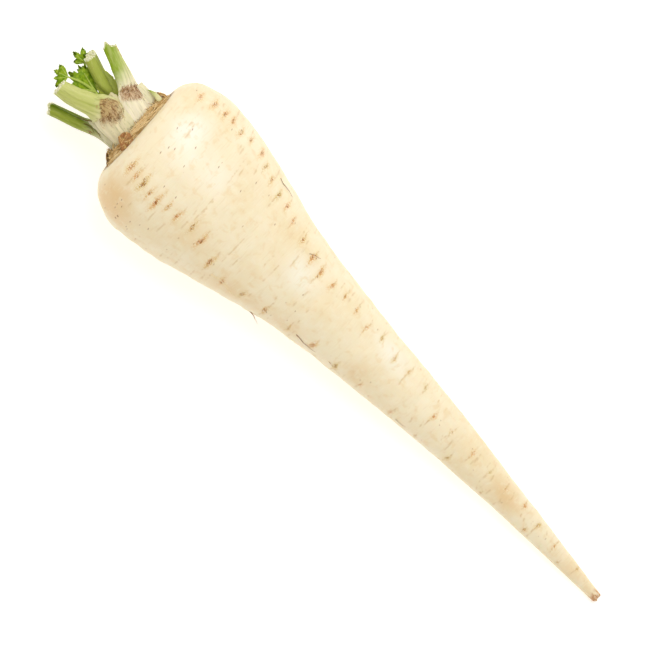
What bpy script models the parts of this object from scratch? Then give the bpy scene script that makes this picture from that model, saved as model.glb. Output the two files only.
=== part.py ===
"""A parsnip as dug and trimmed, lying on its shoulder and its tip.

Metres, +Z up. The root runs along X with its crown toward -X, and it lies on z = 0.
The origin is at the bottom centre of the whole parsnip's box.
"""

import math
from dataclasses import dataclass

import bmesh
import bpy
from mathutils import Vector

MM = 0.001
TAU = 2 * math.pi
GAP = 0.3 * MM  # clearance between neighbouring pieces

# Root. "Run" is the level distance from the crown's rim towards the tip.
ROOT_RUN = 220.0 * MM
SHOULDER_RUN = 17.6 * MM
SHOULDER_RADIUS = 28.5 * MM
SHOULDER_POWER = 2.2  # 2 is a quarter ellipse, more is squarer
RIM_RADIUS = 16.6 * MM
CONE_RADIUS = 21.0 * MM  # the straight taper's radius, carried back to the shoulder
TIP_RADIUS = 1.75 * MM
TAPER_SAG = 0.5 * MM  # how far the taper runs inside a straight cone
TAPER_SAG_POWER = 1.6
SWELLING_REACH = 0.205  # how far the shoulder's swelling dies away, as a share of the taper
SWELLING_POWER = 2.3
OUT_OF_ROUND = 0.010
SIDE_BOW = 2.7 * MM
SIDE_BOW_POWER = 1.25
ROOT_DROP = 27.39 * MM  # how much lower the axis is at the tip than at the crown
DROP_BOW = 0.35  # share of the drop that steepens towards the tip
CROWN_SKEW = 0.06  # the crown's rim leans forward on its +Y side
RECESS_DEPTH = 1.6 * MM
RECESS_LIP = 0.8 * MM
TIP_ROUNDING = 0.5 * MM
ROOT_SIDES = 44
SHOULDER_STEPS = 7
TAPER_STEPS = 27

# Crown centre in the part's frame, at the level of the rim.
CROWN = Vector((-93.07 * MM, -0.56 * MM, 29.1 * MM))
CROWN_PITCH = math.atan(ROOT_DROP * (1 - DROP_BOW) / ROOT_RUN)
CROWN_YAW = math.atan(CROWN_SKEW)

# Collar of old leaf bases, round the stalks and inside the rim
COLLAR_INNER = 11.7 * MM
COLLAR_OUTER = RIM_RADIUS - RECESS_LIP - GAP
COLLAR_CREST = 3.0 * MM
COLLAR_RAGGED = 0.6 * MM
COLLAR_SIDES = 48

# Leaf stalks. Paths below are (out of the crown, across to +Y, up), in the crown's own frame.
CLASP_RADIUS = 9.0 * MM  # middle of the clasping bases
CLASP_THICKNESS = 3.4 * MM
CLASP_TOP = 8.0 * MM  # where a clasping base starts to straighten into its stalk
STALK_START = 19.0 * MM  # where it has straightened
STRAIGHT_CURL = 60.0 * MM
STALK_SIDES = 20
STALK_STEPS = 19
STALK_FOOT = -(RECESS_DEPTH - 1.5 * GAP)
CHANNEL_DEPTH = 0.3  # share of the thickness that the channel on the inner side takes off

LEAF_STALK_HALF_WIDTH = 0.8 * MM
LEAF_STALK_THICKNESS = 1.5 * MM
LEAF_THICKNESS = 0.7 * MM
LEAF_SIDES = 8
LEAF_STEPS = 30


@dataclass
class Stalk:
    """One cut leaf stalk: its middle line, its size where cut, and its clasping base."""

    name: str
    path: tuple
    widths: tuple  # (out of the crown, width) in mm
    thickness: float
    cut_slant: float


@dataclass
class YoungLeaf:
    """One young leaf: a thin stalk that opens into a lobed blade."""

    name: str
    path: tuple
    blade_from: float
    half_width: float
    lobes: float


@dataclass
class Scale:
    """One dry scale or stub on the crown, as a short tapering flake."""

    name: str
    path: tuple
    width: float
    thickness: float


STALKS = (
    Stalk(
        name="leaf_stalk_right",
        path=((STALK_FOOT / MM, 5.1, 7.1), (8.5, 7.3, 5.9), (12.9, 8.8, 5.2), (19.0, 11.1, 5.8),
              (26.5, 14.2, 6.8)),
        widths=((0, 13.4), (3.5, 13.4), (8.5, 11.6), (12.9, 9.6), (16, 7.8), (19, 6.1), (26.5, 4.0)),
        thickness=4.3 * MM,
        cut_slant=-0.7,
    ),
    Stalk(
        name="leaf_stalk_middle",
        path=((STALK_FOOT / MM, 5.1, -6.5), (8.0, 4.2, -5.0), (14.0, 3.1, -1.6), (20.0, 4.2, 1.4),
              (29.4, 7.5, 3.6)),
        widths=((0, 13.0), (5, 13.0), (14, 8.2), (19, 7.6), (24, 6.2), (29.4, 5.2)),
        thickness=4.8 * MM,
        cut_slant=0.25,
    ),
    Stalk(
        name="leaf_stalk_front",
        path=((STALK_FOOT / MM, -5.8, 6.9), (8.5, -4.6, 8.2), (13.0, -2.8, 9.5), (18.5, -4.2, 9.7),
              (24.5, -6.0, 10.2), (30.1, -6.9, 10.6)),
        widths=((0, 8.4), (3.5, 8.4), (8.5, 10.4), (12.5, 11.8), (15.5, 10.2), (18.5, 8.0), (24.5, 7.2),
                (30.1, 5.7)),
        thickness=5.2 * MM,
        cut_slant=-0.04,
    ),
    Stalk(
        name="leaf_stalk_left",
        path=((STALK_FOOT / MM, -7.8, -4.6), (8.6, -8.9, -3.4), (16.5, -11.0, -2.0), (27.0, -14.0, -1.4)),
        widths=((0, 13.4), (6, 13.0), (11, 9.4), (17, 5.8), (27, 5.0)),
        thickness=4.6 * MM,
        cut_slant=0.45,
    ),
)

YOUNG_LEAVES = (
    YoungLeaf(
        name="young_leaf_front",
        path=((STALK_FOOT / MM, -1.4, 0.6), (11.0, -2.4, 0.8), (19.4, -1.5, 2.0), (27.0, -1.6, 2.8),
              (34.6, -3.8, 3.4)),
        blade_from=0.55,
        half_width=3.9 * MM,
        lobes=2.5,
    ),
    YoungLeaf(
        name="young_leaf_back",
        path=((STALK_FOOT / MM, 1.0, -1.4), (9.0, -0.6, -2.4), (15.0, -1.9, -3.3), (22.0, 1.0, -3.0),
              (28.0, 4.0, -1.8), (33.6, 6.5, -0.6)),
        blade_from=0.78,
        half_width=2.3 * MM,
        lobes=1.5,
    ),
)

SCALES = (
    Scale(
        name="leaf_base_stub",
        path=((1.0, 12.6, 6.6), (3.4, 12.8, 6.2), (6.8, 12.3, 5.4)),
        width=2.2 * MM,
        thickness=1.5 * MM,
    ),
    Scale(
        name="crown_scale_right",
        path=((0.8, 14.4, 1.8), (2.4, 14.2, 2.0), (4.4, 13.2, 1.2)),
        width=4.4 * MM,
        thickness=1.1 * MM,
    ),
    Scale(
        name="crown_scale_front",
        path=((1.2, -4.6, 12.9), (2.6, -4.6, 12.9), (4.4, -4.5, 12.4)),
        width=7.4 * MM,
        thickness=1.3 * MM,
    ),
    Scale(
        name="crown_scale_left",
        path=((0.7, -13.4, -3.6), (2.2, -13.4, -3.9), (3.8, -12.9, -4.2)),
        width=4.8 * MM,
        thickness=1.1 * MM,
    ),
)
SCALE_SIDES = 10
SCALE_STEPS = 6
SCALE_LIFT = 2.2 * MM  # keeps a scale's foot clear of the collar's crest


def clear_scene():
    for thing in list(bpy.data.objects):
        bpy.data.objects.remove(thing)


def principled(name, colour, roughness):
    """A Principled material of one linear colour. Nothing on a parsnip is metallic."""
    material = bpy.data.materials.new(name)
    material.use_nodes = True
    shader = material.node_tree.nodes["Principled BSDF"]
    shader.inputs["Base Color"].default_value = (*colour, 1.0)
    shader.inputs["Roughness"].default_value = roughness
    shader.inputs["Metallic"].default_value = 0.0
    return material


def root_skin():
    return principled("root_skin", (0.87, 0.74, 0.48), 0.5)


def crown_bark():
    return principled("crown_bark", (0.33, 0.19, 0.075), 0.85)


def stalk_green():
    return principled("stalk_green", (0.38, 0.46, 0.12), 0.45)


def leaf_green():
    return principled("leaf_green", (0.16, 0.30, 0.02), 0.5)


def blend(low, high, share):
    return low + (high - low) * share


def smooth_step(low, high, value):
    share = min(max((value - low) / (high - low), 0.0), 1.0)
    return share * share * (3 - 2 * share)


def width_at(widths, out):
    """The width at a distance out of the crown, eased from each listed width to the next."""
    for (start, low), (end, high) in zip(widths, widths[1:]):
        if out <= end * MM:
            return blend(low, high, smooth_step(start * MM, end * MM, out)) * MM
    return widths[-1][1] * MM


def curve_point(points, share):
    """A point on the smooth curve that passes through all the points, for a share from 0 to 1."""
    padded = [2 * points[0] - points[1], *points, 2 * points[-1] - points[-2]]
    place = share * (len(points) - 1)
    first = min(int(place), len(points) - 2)
    t = place - first
    before, start, end, after = padded[first : first + 4]
    return 0.5 * (
        2 * start
        + (end - before) * t
        + (2 * before - 5 * start + 4 * end - after) * t**2
        + (3 * start - before - 3 * end + after) * t**3
    )


def crown_frame_curve(path, share):
    """The same in the crown's frame, where +X points down the root, for a path in millimetres."""
    points = [Vector((-out, across, up)) * MM for out, across, up in path]
    return curve_point(points, share)


def curve_direction(path, share):
    step = 0.01
    ahead = crown_frame_curve(path, min(share + step, 1.0))
    behind = crown_frame_curve(path, max(share - step, 0.0))
    return (ahead - behind).normalized()


def solid_from_rings(name, rings, material, parent):
    """One closed solid skinned over rings of points, with a flat face over each end."""
    builder = bmesh.new()
    loops = [[builder.verts.new(point) for point in ring] for ring in rings]
    for first, second in zip(loops, loops[1:]):
        for index, corner in enumerate(first):
            after = (index + 1) % len(first)
            builder.faces.new((corner, first[after], second[after], second[index]))
    builder.faces.new(loops[0])
    builder.faces.new(loops[-1])
    return finish_solid(name, builder, material, parent)


def finish_solid(name, builder, material, parent):
    bmesh.ops.recalc_face_normals(builder, faces=builder.faces)
    mesh = bpy.data.meshes.new(name)
    builder.to_mesh(mesh)
    builder.free()
    mesh.materials.append(material)
    mesh.shade_smooth()
    mesh.set_sharp_from_angle(angle=math.radians(40))
    solid = bpy.data.objects.new(name, mesh)
    solid.parent = parent
    bpy.context.collection.objects.link(solid)
    return solid


def root_radius(run):
    """A full, rounded shoulder, then a long taper on which the shoulder's swelling dies away."""
    if run < SHOULDER_RUN:
        back = 1 - run / SHOULDER_RUN
        rise = (1 - back**SHOULDER_POWER) ** (1 / SHOULDER_POWER)
        return blend(RIM_RADIUS, SHOULDER_RADIUS, rise)
    share = (run - SHOULDER_RUN) / (ROOT_RUN - SHOULDER_RUN)
    swelling = (SHOULDER_RADIUS - CONE_RADIUS) * math.exp(-((share / SWELLING_REACH) ** SWELLING_POWER))
    sag = TAPER_SAG * math.sin(math.pi * share**TAPER_SAG_POWER)
    return blend(CONE_RADIUS, TIP_RADIUS, share) + swelling - sag


def root_axis(run):
    """The root's middle line: bowed a little to one side, and steeper towards the tip."""
    share = run / ROOT_RUN
    side = SIDE_BOW * math.sin(math.pi * share**SIDE_BOW_POWER)
    drop = ROOT_DROP * blend(share, share * share, DROP_BOW)
    return CROWN + Vector((run, side, -drop))


def root_ring(run, radius, depth=0.0):
    """A ring of the root's skin. A depth moves it down into the root, for the crown's recess."""
    step = 0.5 * MM
    along = (root_axis(run + step) - root_axis(max(run - step, 0.0))).normalized()
    up = (Vector((0, 0, 1)) - along * along.z).normalized()
    side = up.cross(along)
    skew = CROWN_SKEW * (1 - smooth_step(0.0, SHOULDER_RUN, run))
    share = run / ROOT_RUN
    ring = []
    for index in range(ROOT_SIDES):
        angle = TAU * index / ROOT_SIDES
        lobes = math.sin(2 * angle + 1.0 + 5 * share) + 0.7 * math.sin(3 * angle + 2.0 - 4 * share)
        reach = radius * (1 + OUT_OF_ROUND * lobes)
        across = reach * math.cos(angle)
        point = root_axis(run) + side * across + up * (reach * math.sin(angle))
        ring.append(point + along * (depth - skew * across))
    return ring


def make_root(parent, material):
    """The whole taproot, with the recess that holds the crown, and a flat where its shoulder lies."""
    wall = RIM_RADIUS - RECESS_LIP
    rings = [root_ring(0.0, wall, RECESS_DEPTH), root_ring(0.0, wall, RECESS_LIP / 2)]
    for index in range(SHOULDER_STEPS):
        run = SHOULDER_RUN * (1 - math.cos(math.pi / 2 * index / SHOULDER_STEPS))
        rings.append(root_ring(run, root_radius(run)))
    for index in range(TAPER_STEPS + 1):
        run = blend(SHOULDER_RUN, ROOT_RUN - TIP_ROUNDING, index / TAPER_STEPS)
        rings.append(root_ring(run, root_radius(run)))
    rings.append(root_ring(ROOT_RUN, TIP_RADIUS - TIP_ROUNDING))
    root = solid_from_rings("root", rings, material, parent)
    lay_flat(root)
    return root


def lay_flat(solid):
    """Cuts off what lies below z = 0 and closes the cut with one flat face."""
    builder = bmesh.new()
    builder.from_mesh(solid.data)
    geometry = [*builder.verts, *builder.edges, *builder.faces]
    cut = bmesh.ops.bisect_plane(
        builder, geom=geometry, plane_co=(0, 0, 0), plane_no=(0, 0, 1), clear_inner=True
    )
    edges = [piece for piece in cut["geom_cut"] if isinstance(piece, bmesh.types.BMEdge)]
    bmesh.ops.contextual_create(builder, geom=edges)
    bmesh.ops.recalc_face_normals(builder, faces=builder.faces)
    builder.to_mesh(solid.data)
    builder.free()


def make_collar(parent, material):
    """A ragged ring, thin at the rim and crested where it meets the stalks."""
    builder = bmesh.new()
    floor = RECESS_DEPTH - 1.2 * GAP
    loops = []
    for index in range(COLLAR_SIDES):
        angle = TAU * index / COLLAR_SIDES
        ragged = COLLAR_RAGGED * math.sin(7 * angle) * math.sin(4 * angle + 0.6)
        crest = COLLAR_CREST + ragged
        profile = (
            (COLLAR_INNER, floor),
            (COLLAR_INNER, -crest),
            (COLLAR_INNER + 1.0 * MM, -crest),
            (blend(COLLAR_INNER, COLLAR_OUTER, 0.65), -0.5 * crest),
            (COLLAR_OUTER - GAP, 0.2 * MM - 0.2 * ragged),
            (COLLAR_OUTER - GAP, floor),
        )
        direction = Vector((0, math.cos(angle), math.sin(angle)))
        loops.append([builder.verts.new(direction * reach + Vector((x, 0, 0))) for reach, x in profile])
    for first, second in zip(loops, [*loops[1:], loops[0]]):
        for index, corner in enumerate(first):
            after = (index + 1) % len(first)
            builder.faces.new((corner, first[after], second[after], second[index]))
    return finish_solid("crown_collar", builder, material, parent)


def stalk_ring(centre, along, width, thickness, curl_radius, slant):
    """An oval cross-section curled round the cluster's middle, with a channel on its inner side."""
    outward = Vector((0, centre.y, centre.z)).normalized()
    outward = (outward - along * outward.dot(along)).normalized()
    side = along.cross(outward)
    ring = []
    for index in range(STALK_SIDES):
        angle = TAU * index / STALK_SIDES
        across = 0.5 * width * math.cos(angle)
        depth = 0.5 * thickness * math.sin(angle)
        if depth < 0:
            depth *= 1 - CHANNEL_DEPTH * math.sin(angle) ** 4
        turn = across / curl_radius
        reach = curl_radius + depth
        offset = outward * (reach * math.cos(turn) - curl_radius) + side * (reach * math.sin(turn))
        ring.append(centre + offset + along * (slant * offset.y))
    return ring


def make_stalk(stalk, parent, material):
    rings = []
    for index in range(STALK_STEPS):
        share = index / (STALK_STEPS - 1)
        centre = crown_frame_curve(stalk.path, share)
        along = curve_direction(stalk.path, share)
        if index == 0:
            along = Vector((-1, 0, 0))
        grown = smooth_step(CLASP_TOP, STALK_START, -centre.x)
        width = width_at(stalk.widths, -centre.x)
        thickness = blend(CLASP_THICKNESS, stalk.thickness, grown)
        curl = blend(1 / CLASP_RADIUS, 1 / STRAIGHT_CURL, grown)
        slant = stalk.cut_slant * smooth_step(0.8, 1.0, share)
        rings.append(stalk_ring(centre, along, width, thickness, 1 / curl, slant))
    return solid_from_rings(stalk.name, rings, material, parent)


def flake_ring(centre, along, width, thickness, sides):
    """A flat oval cross-section that lies level across the parsnip."""
    side = Vector((0, 0, 1)).cross(along).normalized()
    face = along.cross(side)
    ring = []
    for index in range(sides):
        angle = TAU * index / sides
        ring.append(
            centre + side * (0.5 * width * math.cos(angle)) + face * (0.5 * thickness * math.sin(angle))
        )
    return ring


def leaf_half_width(leaf, share):
    """Half the leaf's width: its stalk's, then a lobed blade's that closes to a blunt point."""
    opened = (share - leaf.blade_from) / (1 - leaf.blade_from)
    if opened <= 0:
        return LEAF_STALK_HALF_WIDTH
    outline = math.sin(math.pi * opened**0.9)
    lobed = 1 - 0.3 * math.cos(TAU * leaf.lobes * opened) ** 2
    blade = (leaf.half_width - LEAF_STALK_HALF_WIDTH) * outline * lobed
    return LEAF_STALK_HALF_WIDTH * (1 - 0.5 * opened) + blade


def make_young_leaf(leaf, parent, material):
    rings = []
    for index in range(LEAF_STEPS):
        share = index / (LEAF_STEPS - 1)
        centre = crown_frame_curve(leaf.path, share)
        along = curve_direction(leaf.path, share)
        half_width = leaf_half_width(leaf, share)
        opened = smooth_step(0.4, leaf.blade_from + 0.1, share)
        thickness = blend(LEAF_STALK_THICKNESS, LEAF_THICKNESS, opened)
        rings.append(flake_ring(centre, along, 2 * half_width, thickness, LEAF_SIDES))
    return solid_from_rings(leaf.name, rings, material, parent)


def make_scale(scale, parent, material):
    """A dry flake that stands out round the crown's middle and narrows to a worn tip."""
    rings = []
    for index in range(SCALE_STEPS):
        share = index / (SCALE_STEPS - 1)
        centre = crown_frame_curve(scale.path, share) - Vector((SCALE_LIFT, 0, 0))
        along = curve_direction(scale.path, share)
        outward = Vector((0, centre.y, centre.z)).normalized()
        side = along.cross(outward).normalized()
        face = side.cross(along)
        width = scale.width * (1 - 0.6 * share**2)
        thickness = scale.thickness * (1 - 0.5 * share)
        ring = []
        for corner in range(SCALE_SIDES):
            angle = TAU * corner / SCALE_SIDES
            across = side * (0.5 * width * math.cos(angle))
            ring.append(centre + across + face * (0.5 * thickness * math.sin(angle)))
        rings.append(ring)
    return solid_from_rings(scale.name, rings, material, parent)


def make_empty(name, parent=None):
    empty = bpy.data.objects.new(name, None)
    empty.parent = parent
    bpy.context.collection.objects.link(empty)
    return empty


def main():
    clear_scene()
    parsnip = make_empty("parsnip")
    crown = make_empty("crown", parsnip)
    crown.location = CROWN
    crown.rotation_euler = (0, CROWN_PITCH, CROWN_YAW)
    skin, bark, green, leaf_colour = root_skin(), crown_bark(), stalk_green(), leaf_green()
    make_root(parsnip, skin)
    make_collar(crown, bark)
    for stalk in STALKS:
        make_stalk(stalk, crown, green)
    for leaf in YOUNG_LEAVES:
        make_young_leaf(leaf, crown, leaf_colour)
    for scale in SCALES:
        make_scale(scale, crown, green if scale.name == "leaf_base_stub" else bark)


main()
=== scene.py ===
import math
from dataclasses import dataclass, field

import bpy
import numpy as np
from mathutils import Matrix, Vector


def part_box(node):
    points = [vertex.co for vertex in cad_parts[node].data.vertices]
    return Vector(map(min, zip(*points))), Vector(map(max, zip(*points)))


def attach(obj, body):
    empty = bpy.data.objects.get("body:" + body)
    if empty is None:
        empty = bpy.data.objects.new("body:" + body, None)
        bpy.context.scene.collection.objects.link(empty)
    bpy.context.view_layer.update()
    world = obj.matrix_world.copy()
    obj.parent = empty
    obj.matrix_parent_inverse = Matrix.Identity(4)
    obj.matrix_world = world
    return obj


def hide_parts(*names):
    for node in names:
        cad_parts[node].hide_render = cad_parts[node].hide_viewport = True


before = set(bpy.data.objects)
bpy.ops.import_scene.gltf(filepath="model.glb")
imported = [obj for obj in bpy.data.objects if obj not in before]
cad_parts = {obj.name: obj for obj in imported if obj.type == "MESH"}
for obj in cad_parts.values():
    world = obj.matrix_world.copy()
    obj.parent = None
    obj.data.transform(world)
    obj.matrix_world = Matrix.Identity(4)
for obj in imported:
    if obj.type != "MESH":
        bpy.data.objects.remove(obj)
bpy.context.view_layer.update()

MM = 0.001
TAU = 2 * math.pi

# The part's driving sizes, as in its CAD.
ROOT_RUN = 220.0 * MM
SHOULDER_RUN = 17.6 * MM
SHOULDER_RADIUS = 28.5 * MM
SHOULDER_POWER = 2.2
RIM_RADIUS = 16.6 * MM
CONE_RADIUS = 21.0 * MM
TIP_RADIUS = 1.75 * MM
TAPER_SAG = 0.5 * MM
TAPER_SAG_POWER = 1.6
SWELLING_REACH = 0.205
SWELLING_POWER = 2.3
OUT_OF_ROUND = 0.010
SIDE_BOW = 2.7 * MM
SIDE_BOW_POWER = 1.25
ROOT_DROP = 27.39 * MM
DROP_BOW = 0.35
CROWN_SKEW = 0.06
RECESS_DEPTH = 1.6 * MM
RECESS_LIP = 0.8 * MM
CROWN = np.array([-93.07, -0.56, 29.1]) * MM
CROWN_PITCH = math.atan(ROOT_DROP * (1 - DROP_BOW) / ROOT_RUN)
CROWN_YAW = math.atan(CROWN_SKEW)
COLLAR_CREST = 2.34 * MM  # lower than the CAD's, because torn fibres stand up from it
CLASP_RADIUS = 9.0 * MM
CLASP_THICKNESS = 3.4 * MM
CLASP_TOP = 8.0 * MM
STALK_START = 19.0 * MM
STRAIGHT_CURL = 60.0 * MM

# Clusters of small dark specks: (run mm, degrees, spread of the run mm, spread of the angle, count)
SPECK_CLUSTERS = ((14, 148, 6, 8, 14), (9, 95, 3, 20, 5))
STRAY_SPECKS = 70
SPECK_STRENGTH = 0.85
# Soft patches of tone: (run mm, angle deg, reach along mm, reach round mm, strength), warm above 0 and
# pale below it. The pale ones, over the top and the +Y side, are painted highlight; the warm ones, on the
# -Y side and underneath, are partly the skin's own tan and partly painted warm shade. Angles go round the
# root's axis from its +Y side over the top.
TONE_AND_LIGHT_PATCHES = (
    (13, 150, 8, 9, 0.75), (9, 120, 4, 7, 0.35), (35, 120, 9, 7, 0.45), (58, 145, 13, 6, 0.5),
    (107, 130, 5, 5, 0.6), (172, 90, 7, 4, 0.7), (80, 140, 9, 5, 0.4), (205, 90, 8, 4, 0.4),
    (11, 65, 9, 12, -0.85), (6, 150, 5, 11, 0.7), (4, 60, 3, 30, 0.3), (70, 80, 10, 8, -0.5),
    (112, 65, 9, 5, -0.5), (31, 75, 9, 9, -0.4), (150, 100, 8, 4, -0.4), (20, 250, 12, 14, 0.5),
    (60, 290, 14, 9, 0.5), (120, 240, 14, 7, 0.5),
)



def smooth_step(low, high, value):
    share = np.clip((value - low) / (high - low), 0.0, 1.0)
    return share * share * (3 - 2 * share)


def blend(low, high, share):
    return low + (high - low) * share


def bell(value):
    return np.exp(-(value**2))


def srgb(red, green, blue):
    """A linear colour from display values of 0 to 255."""
    values = np.array([red, green, blue]) / 255
    linear = np.where(values <= 0.04045, values / 12.92, ((values + 0.055) / 1.055) ** 2.4)
    return (*linear.tolist(), 1.0)


# --- Repeatable noise -------------------------------------------------------------------------------

NOISE_SIZE = 64
noise_source = np.random.default_rng(20)
NOISE_TABLE = noise_source.random((NOISE_SIZE, NOISE_SIZE, NOISE_SIZE))


def lattice_noise(points):
    """Smooth noise from -1 to 1 at points (..., 3), with features one unit across."""
    cell = np.floor(points).astype(int)
    part = points - cell
    part = part * part * (3 - 2 * part)
    value = np.zeros(points.shape[:-1])
    for corner in np.ndindex(2, 2, 2):
        index = (cell + corner) % NOISE_SIZE
        weight = np.prod(np.where(np.array(corner) == 1, part, 1 - part), axis=-1)
        value += weight * NOISE_TABLE[index[..., 0], index[..., 1], index[..., 2]]
    return 2 * value - 1


def layered_noise(points, layers=3):
    value = 0.0
    strength = 1.0
    for layer in range(layers):
        value = value + strength * lattice_noise(points * 2.0**layer + 17.3 * layer)
        strength *= 0.5
    return value / (2 - 2 * strength)


# --- Meshes -----------------------------------------------------------------------------------------


def make_object(name, points, faces, attributes, material):
    mesh = bpy.data.meshes.new(name)
    mesh.from_pydata([tuple(point) for point in points], [], faces)
    for key, values in attributes.items():
        values = np.asarray(values, dtype=np.float32)
        if values.ndim == 2:
            mesh.attributes.new(key, "FLOAT_VECTOR", "POINT").data.foreach_set("vector", values.ravel())
        else:
            mesh.attributes.new(key, "FLOAT", "POINT").data.foreach_set("value", values)
    mesh.materials.append(material)
    mesh.shade_smooth()
    mesh.update()
    piece = bpy.data.objects.new(name, mesh)
    bpy.context.collection.objects.link(piece)
    return piece


@dataclass
class Cloth:
    """Points, faces and attributes of a mesh that is being put together from skinned rings."""

    points: list = field(default_factory=list)
    faces: list = field(default_factory=list)
    values: dict = field(default_factory=dict)
    count: int = 0

    def add_rings(self, rings, attributes, loop=False):
        """Adds a tube skinned over rings (n, m, 3): closed with a fan at each end, or a loop of rings."""
        rows, sides = rings.shape[:2]
        index = np.arange(rows * sides).reshape(rows, sides)
        after = np.roll(index, -1, axis=1)
        quads = np.stack([index, after, np.roll(after, -1, axis=0), np.roll(index, -1, axis=0)], axis=-1)
        faces = (quads if loop else quads[:-1]).reshape(-1, 4).tolist()
        points = [rings.reshape(-1, 3)]
        ends = () if loop else (0, rows - 1)
        for hub, row in enumerate(ends, rows * sides):
            points.append(rings[row].mean(axis=0)[None])
            pairs = zip(index[row].tolist(), after[row].tolist())
            faces += [(a, b, hub) if row else (b, a, hub) for a, b in pairs]
        points = np.concatenate(points)
        corners = points[np.array([face[:3] for face in faces])]
        if np.linalg.det(corners - points.mean(axis=0)).sum() < 0:
            faces = [tuple(reversed(face)) for face in faces]
        self.faces += [[corner + self.count for corner in face] for face in faces]
        self.points.append(points)
        self.count += len(points)
        for key, value in attributes.items():
            value = np.broadcast_to(value, (rows, sides) + np.shape(value)[2:])
            tops = [value[row].mean(axis=0)[None] for row in ends]
            flat = value.reshape((rows * sides,) + value.shape[2:])
            self.values.setdefault(key, []).append(np.concatenate([flat, *tops]))

    def build(self, name, material):
        attributes = {key: np.concatenate(parts) for key, parts in self.values.items()}
        return make_object(name, np.concatenate(self.points), self.faces, attributes, material)


def grid_normals(rings):
    """Outward normals of a tube of rings (n, m, 3)."""
    down = np.gradient(rings, axis=0)
    around = np.roll(rings, -1, axis=1) - np.roll(rings, 1, axis=1)
    normals = np.cross(around, down)
    normals /= np.maximum(np.linalg.norm(normals, axis=-1, keepdims=True), 1e-12)
    middle = rings.mean(axis=1, keepdims=True)
    if (normals * (rings - middle)).sum() < 0:
        normals = -normals
    return normals


def curve_points(points, shares):
    """Points on the smooth curve through all the given points, for shares from 0 to 1."""
    points = np.asarray(points, dtype=float)
    padded = np.concatenate([[2 * points[0] - points[1]], points, [2 * points[-1] - points[-2]]])
    place = np.asarray(shares) * (len(points) - 1)
    first = np.minimum(place.astype(int), len(points) - 2)
    t = (place - first)[:, None]
    before, start, end, after = (padded[first + step] for step in range(4))
    return 0.5 * (
        2 * start
        + (end - before) * t
        + (2 * before - 5 * start + 4 * end - after) * t**2
        + (3 * start - before - 3 * end + after) * t**3
    )


def unit(vectors):
    return vectors / np.maximum(np.linalg.norm(vectors, axis=-1, keepdims=True), 1e-12)


def ring_angles(sides):
    return np.arange(sides) * TAU / sides


def tube_rings(spine, wide, thick, sides, hint):
    """Rings round a spine (n, 3), with half-widths (n, 1) across and through it.

    The hint is a direction that the spine doesn't take: each ring starts square to it."""
    along = unit(np.gradient(spine, axis=0))
    side = unit(np.cross(along, hint))
    face = np.cross(side, along)
    angle = ring_angles(sides)
    return (spine[:, None] + side[:, None] * (wide * np.cos(angle))[..., None]
            + face[:, None] * (thick * np.sin(angle))[..., None])


FIBRE_HINT = (0.31, 0.52, 0.79)


CROWN_TURN = np.array(Matrix.Rotation(CROWN_YAW, 3, "Z") @ Matrix.Rotation(CROWN_PITCH, 3, "Y"))


def from_crown(points):
    """World places of points (out of the crown, across to +Y, up), in metres."""
    flipped = points * np.array([-1.0, 1.0, 1.0])
    return flipped @ CROWN_TURN.T + CROWN


# --- The root's surface -----------------------------------------------------------------------------


def root_radius(run):
    back = 1 - np.clip(run / SHOULDER_RUN, 0, 1)
    shoulder = blend(RIM_RADIUS, SHOULDER_RADIUS, (1 - back**SHOULDER_POWER) ** (1 / SHOULDER_POWER))
    share = np.clip((run - SHOULDER_RUN) / (ROOT_RUN - SHOULDER_RUN), 0, 1)
    swelling = (SHOULDER_RADIUS - CONE_RADIUS) * np.exp(-((share / SWELLING_REACH) ** SWELLING_POWER))
    sag = TAPER_SAG * np.sin(math.pi * share**TAPER_SAG_POWER)
    return np.where(run < SHOULDER_RUN, shoulder, blend(CONE_RADIUS, TIP_RADIUS, share) + swelling - sag)


def root_axis(run):
    share = np.clip(run / ROOT_RUN, 0, 1)
    side = SIDE_BOW * np.sin(math.pi * share**SIDE_BOW_POWER)
    drop = ROOT_DROP * blend(share, share * share, DROP_BOW)
    return CROWN + np.stack([run, side, -drop], axis=-1)


def root_point(run, angle, radius=None, depth=0.0):
    """World places on the root's plain surface, for equal-shaped arrays of runs and angles."""
    step = 0.5 * MM
    along = unit(root_axis(run + step) - root_axis(np.maximum(run - step, 0.0)))
    up = unit(np.array([0.0, 0.0, 1.0]) - along * along[..., 2:])
    side = np.cross(up, along)
    skew = CROWN_SKEW * (1 - smooth_step(0.0, SHOULDER_RUN, run))
    share = run / ROOT_RUN
    lobes = np.sin(2 * angle + 1.0 + 5 * share) + 0.7 * np.sin(3 * angle + 2.0 - 4 * share)
    reach = (root_radius(run) if radius is None else radius) * (1 + OUT_OF_ROUND * lobes)
    across = reach * np.cos(angle)
    place = root_axis(run) + side * across[..., None] + up * (reach * np.sin(angle))[..., None]
    return place + along * (depth - skew * across)[..., None]


@dataclass
class Scar:
    """Where a side root grew: a small speckled lens across the root, with a crease running out of it."""

    run: float
    angle: float
    size: float
    ahead: float  # how far its crease reaches towards smaller angles, in mm
    behind: float  # and towards larger angles
    olive: float  # how olive it is, instead of rusty


@dataclass
class ScarRow:
    """A row of scars that winds along the root, with wider gaps towards the tip."""

    guide: tuple  # (run in mm, degrees from the +Y side over the top) that the row passes through
    first: float  # run of its first scar, mm
    gap: float  # mm from scar to scar at the crown
    widening: float  # how much the gap grows for each mm of run
    swing: float  # how far its scars stray round the root near the tip, in degrees


SCAR_ROWS = (
    ScarRow(((0, 115), (38, 118), (52, 140), (100, 145), (150, 138), (210, 120)), 5, 3.0, 0.085, 5),
    ScarRow(((0, 30), (35, 32), (75, 58), (130, 63), (170, 82), (210, 77)), 7, 3.6, 0.035, 12),
    ScarRow(((0, 205), (38, 205), (75, 235), (210, 235)), 8, 6.0, 0.055, 17),
    ScarRow(((0, 295), (38, 295), (75, 325), (210, 325)), 10, 6.5, 0.050, 17),
)


LAST_SCAR = 212.0  # mm of run


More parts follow.
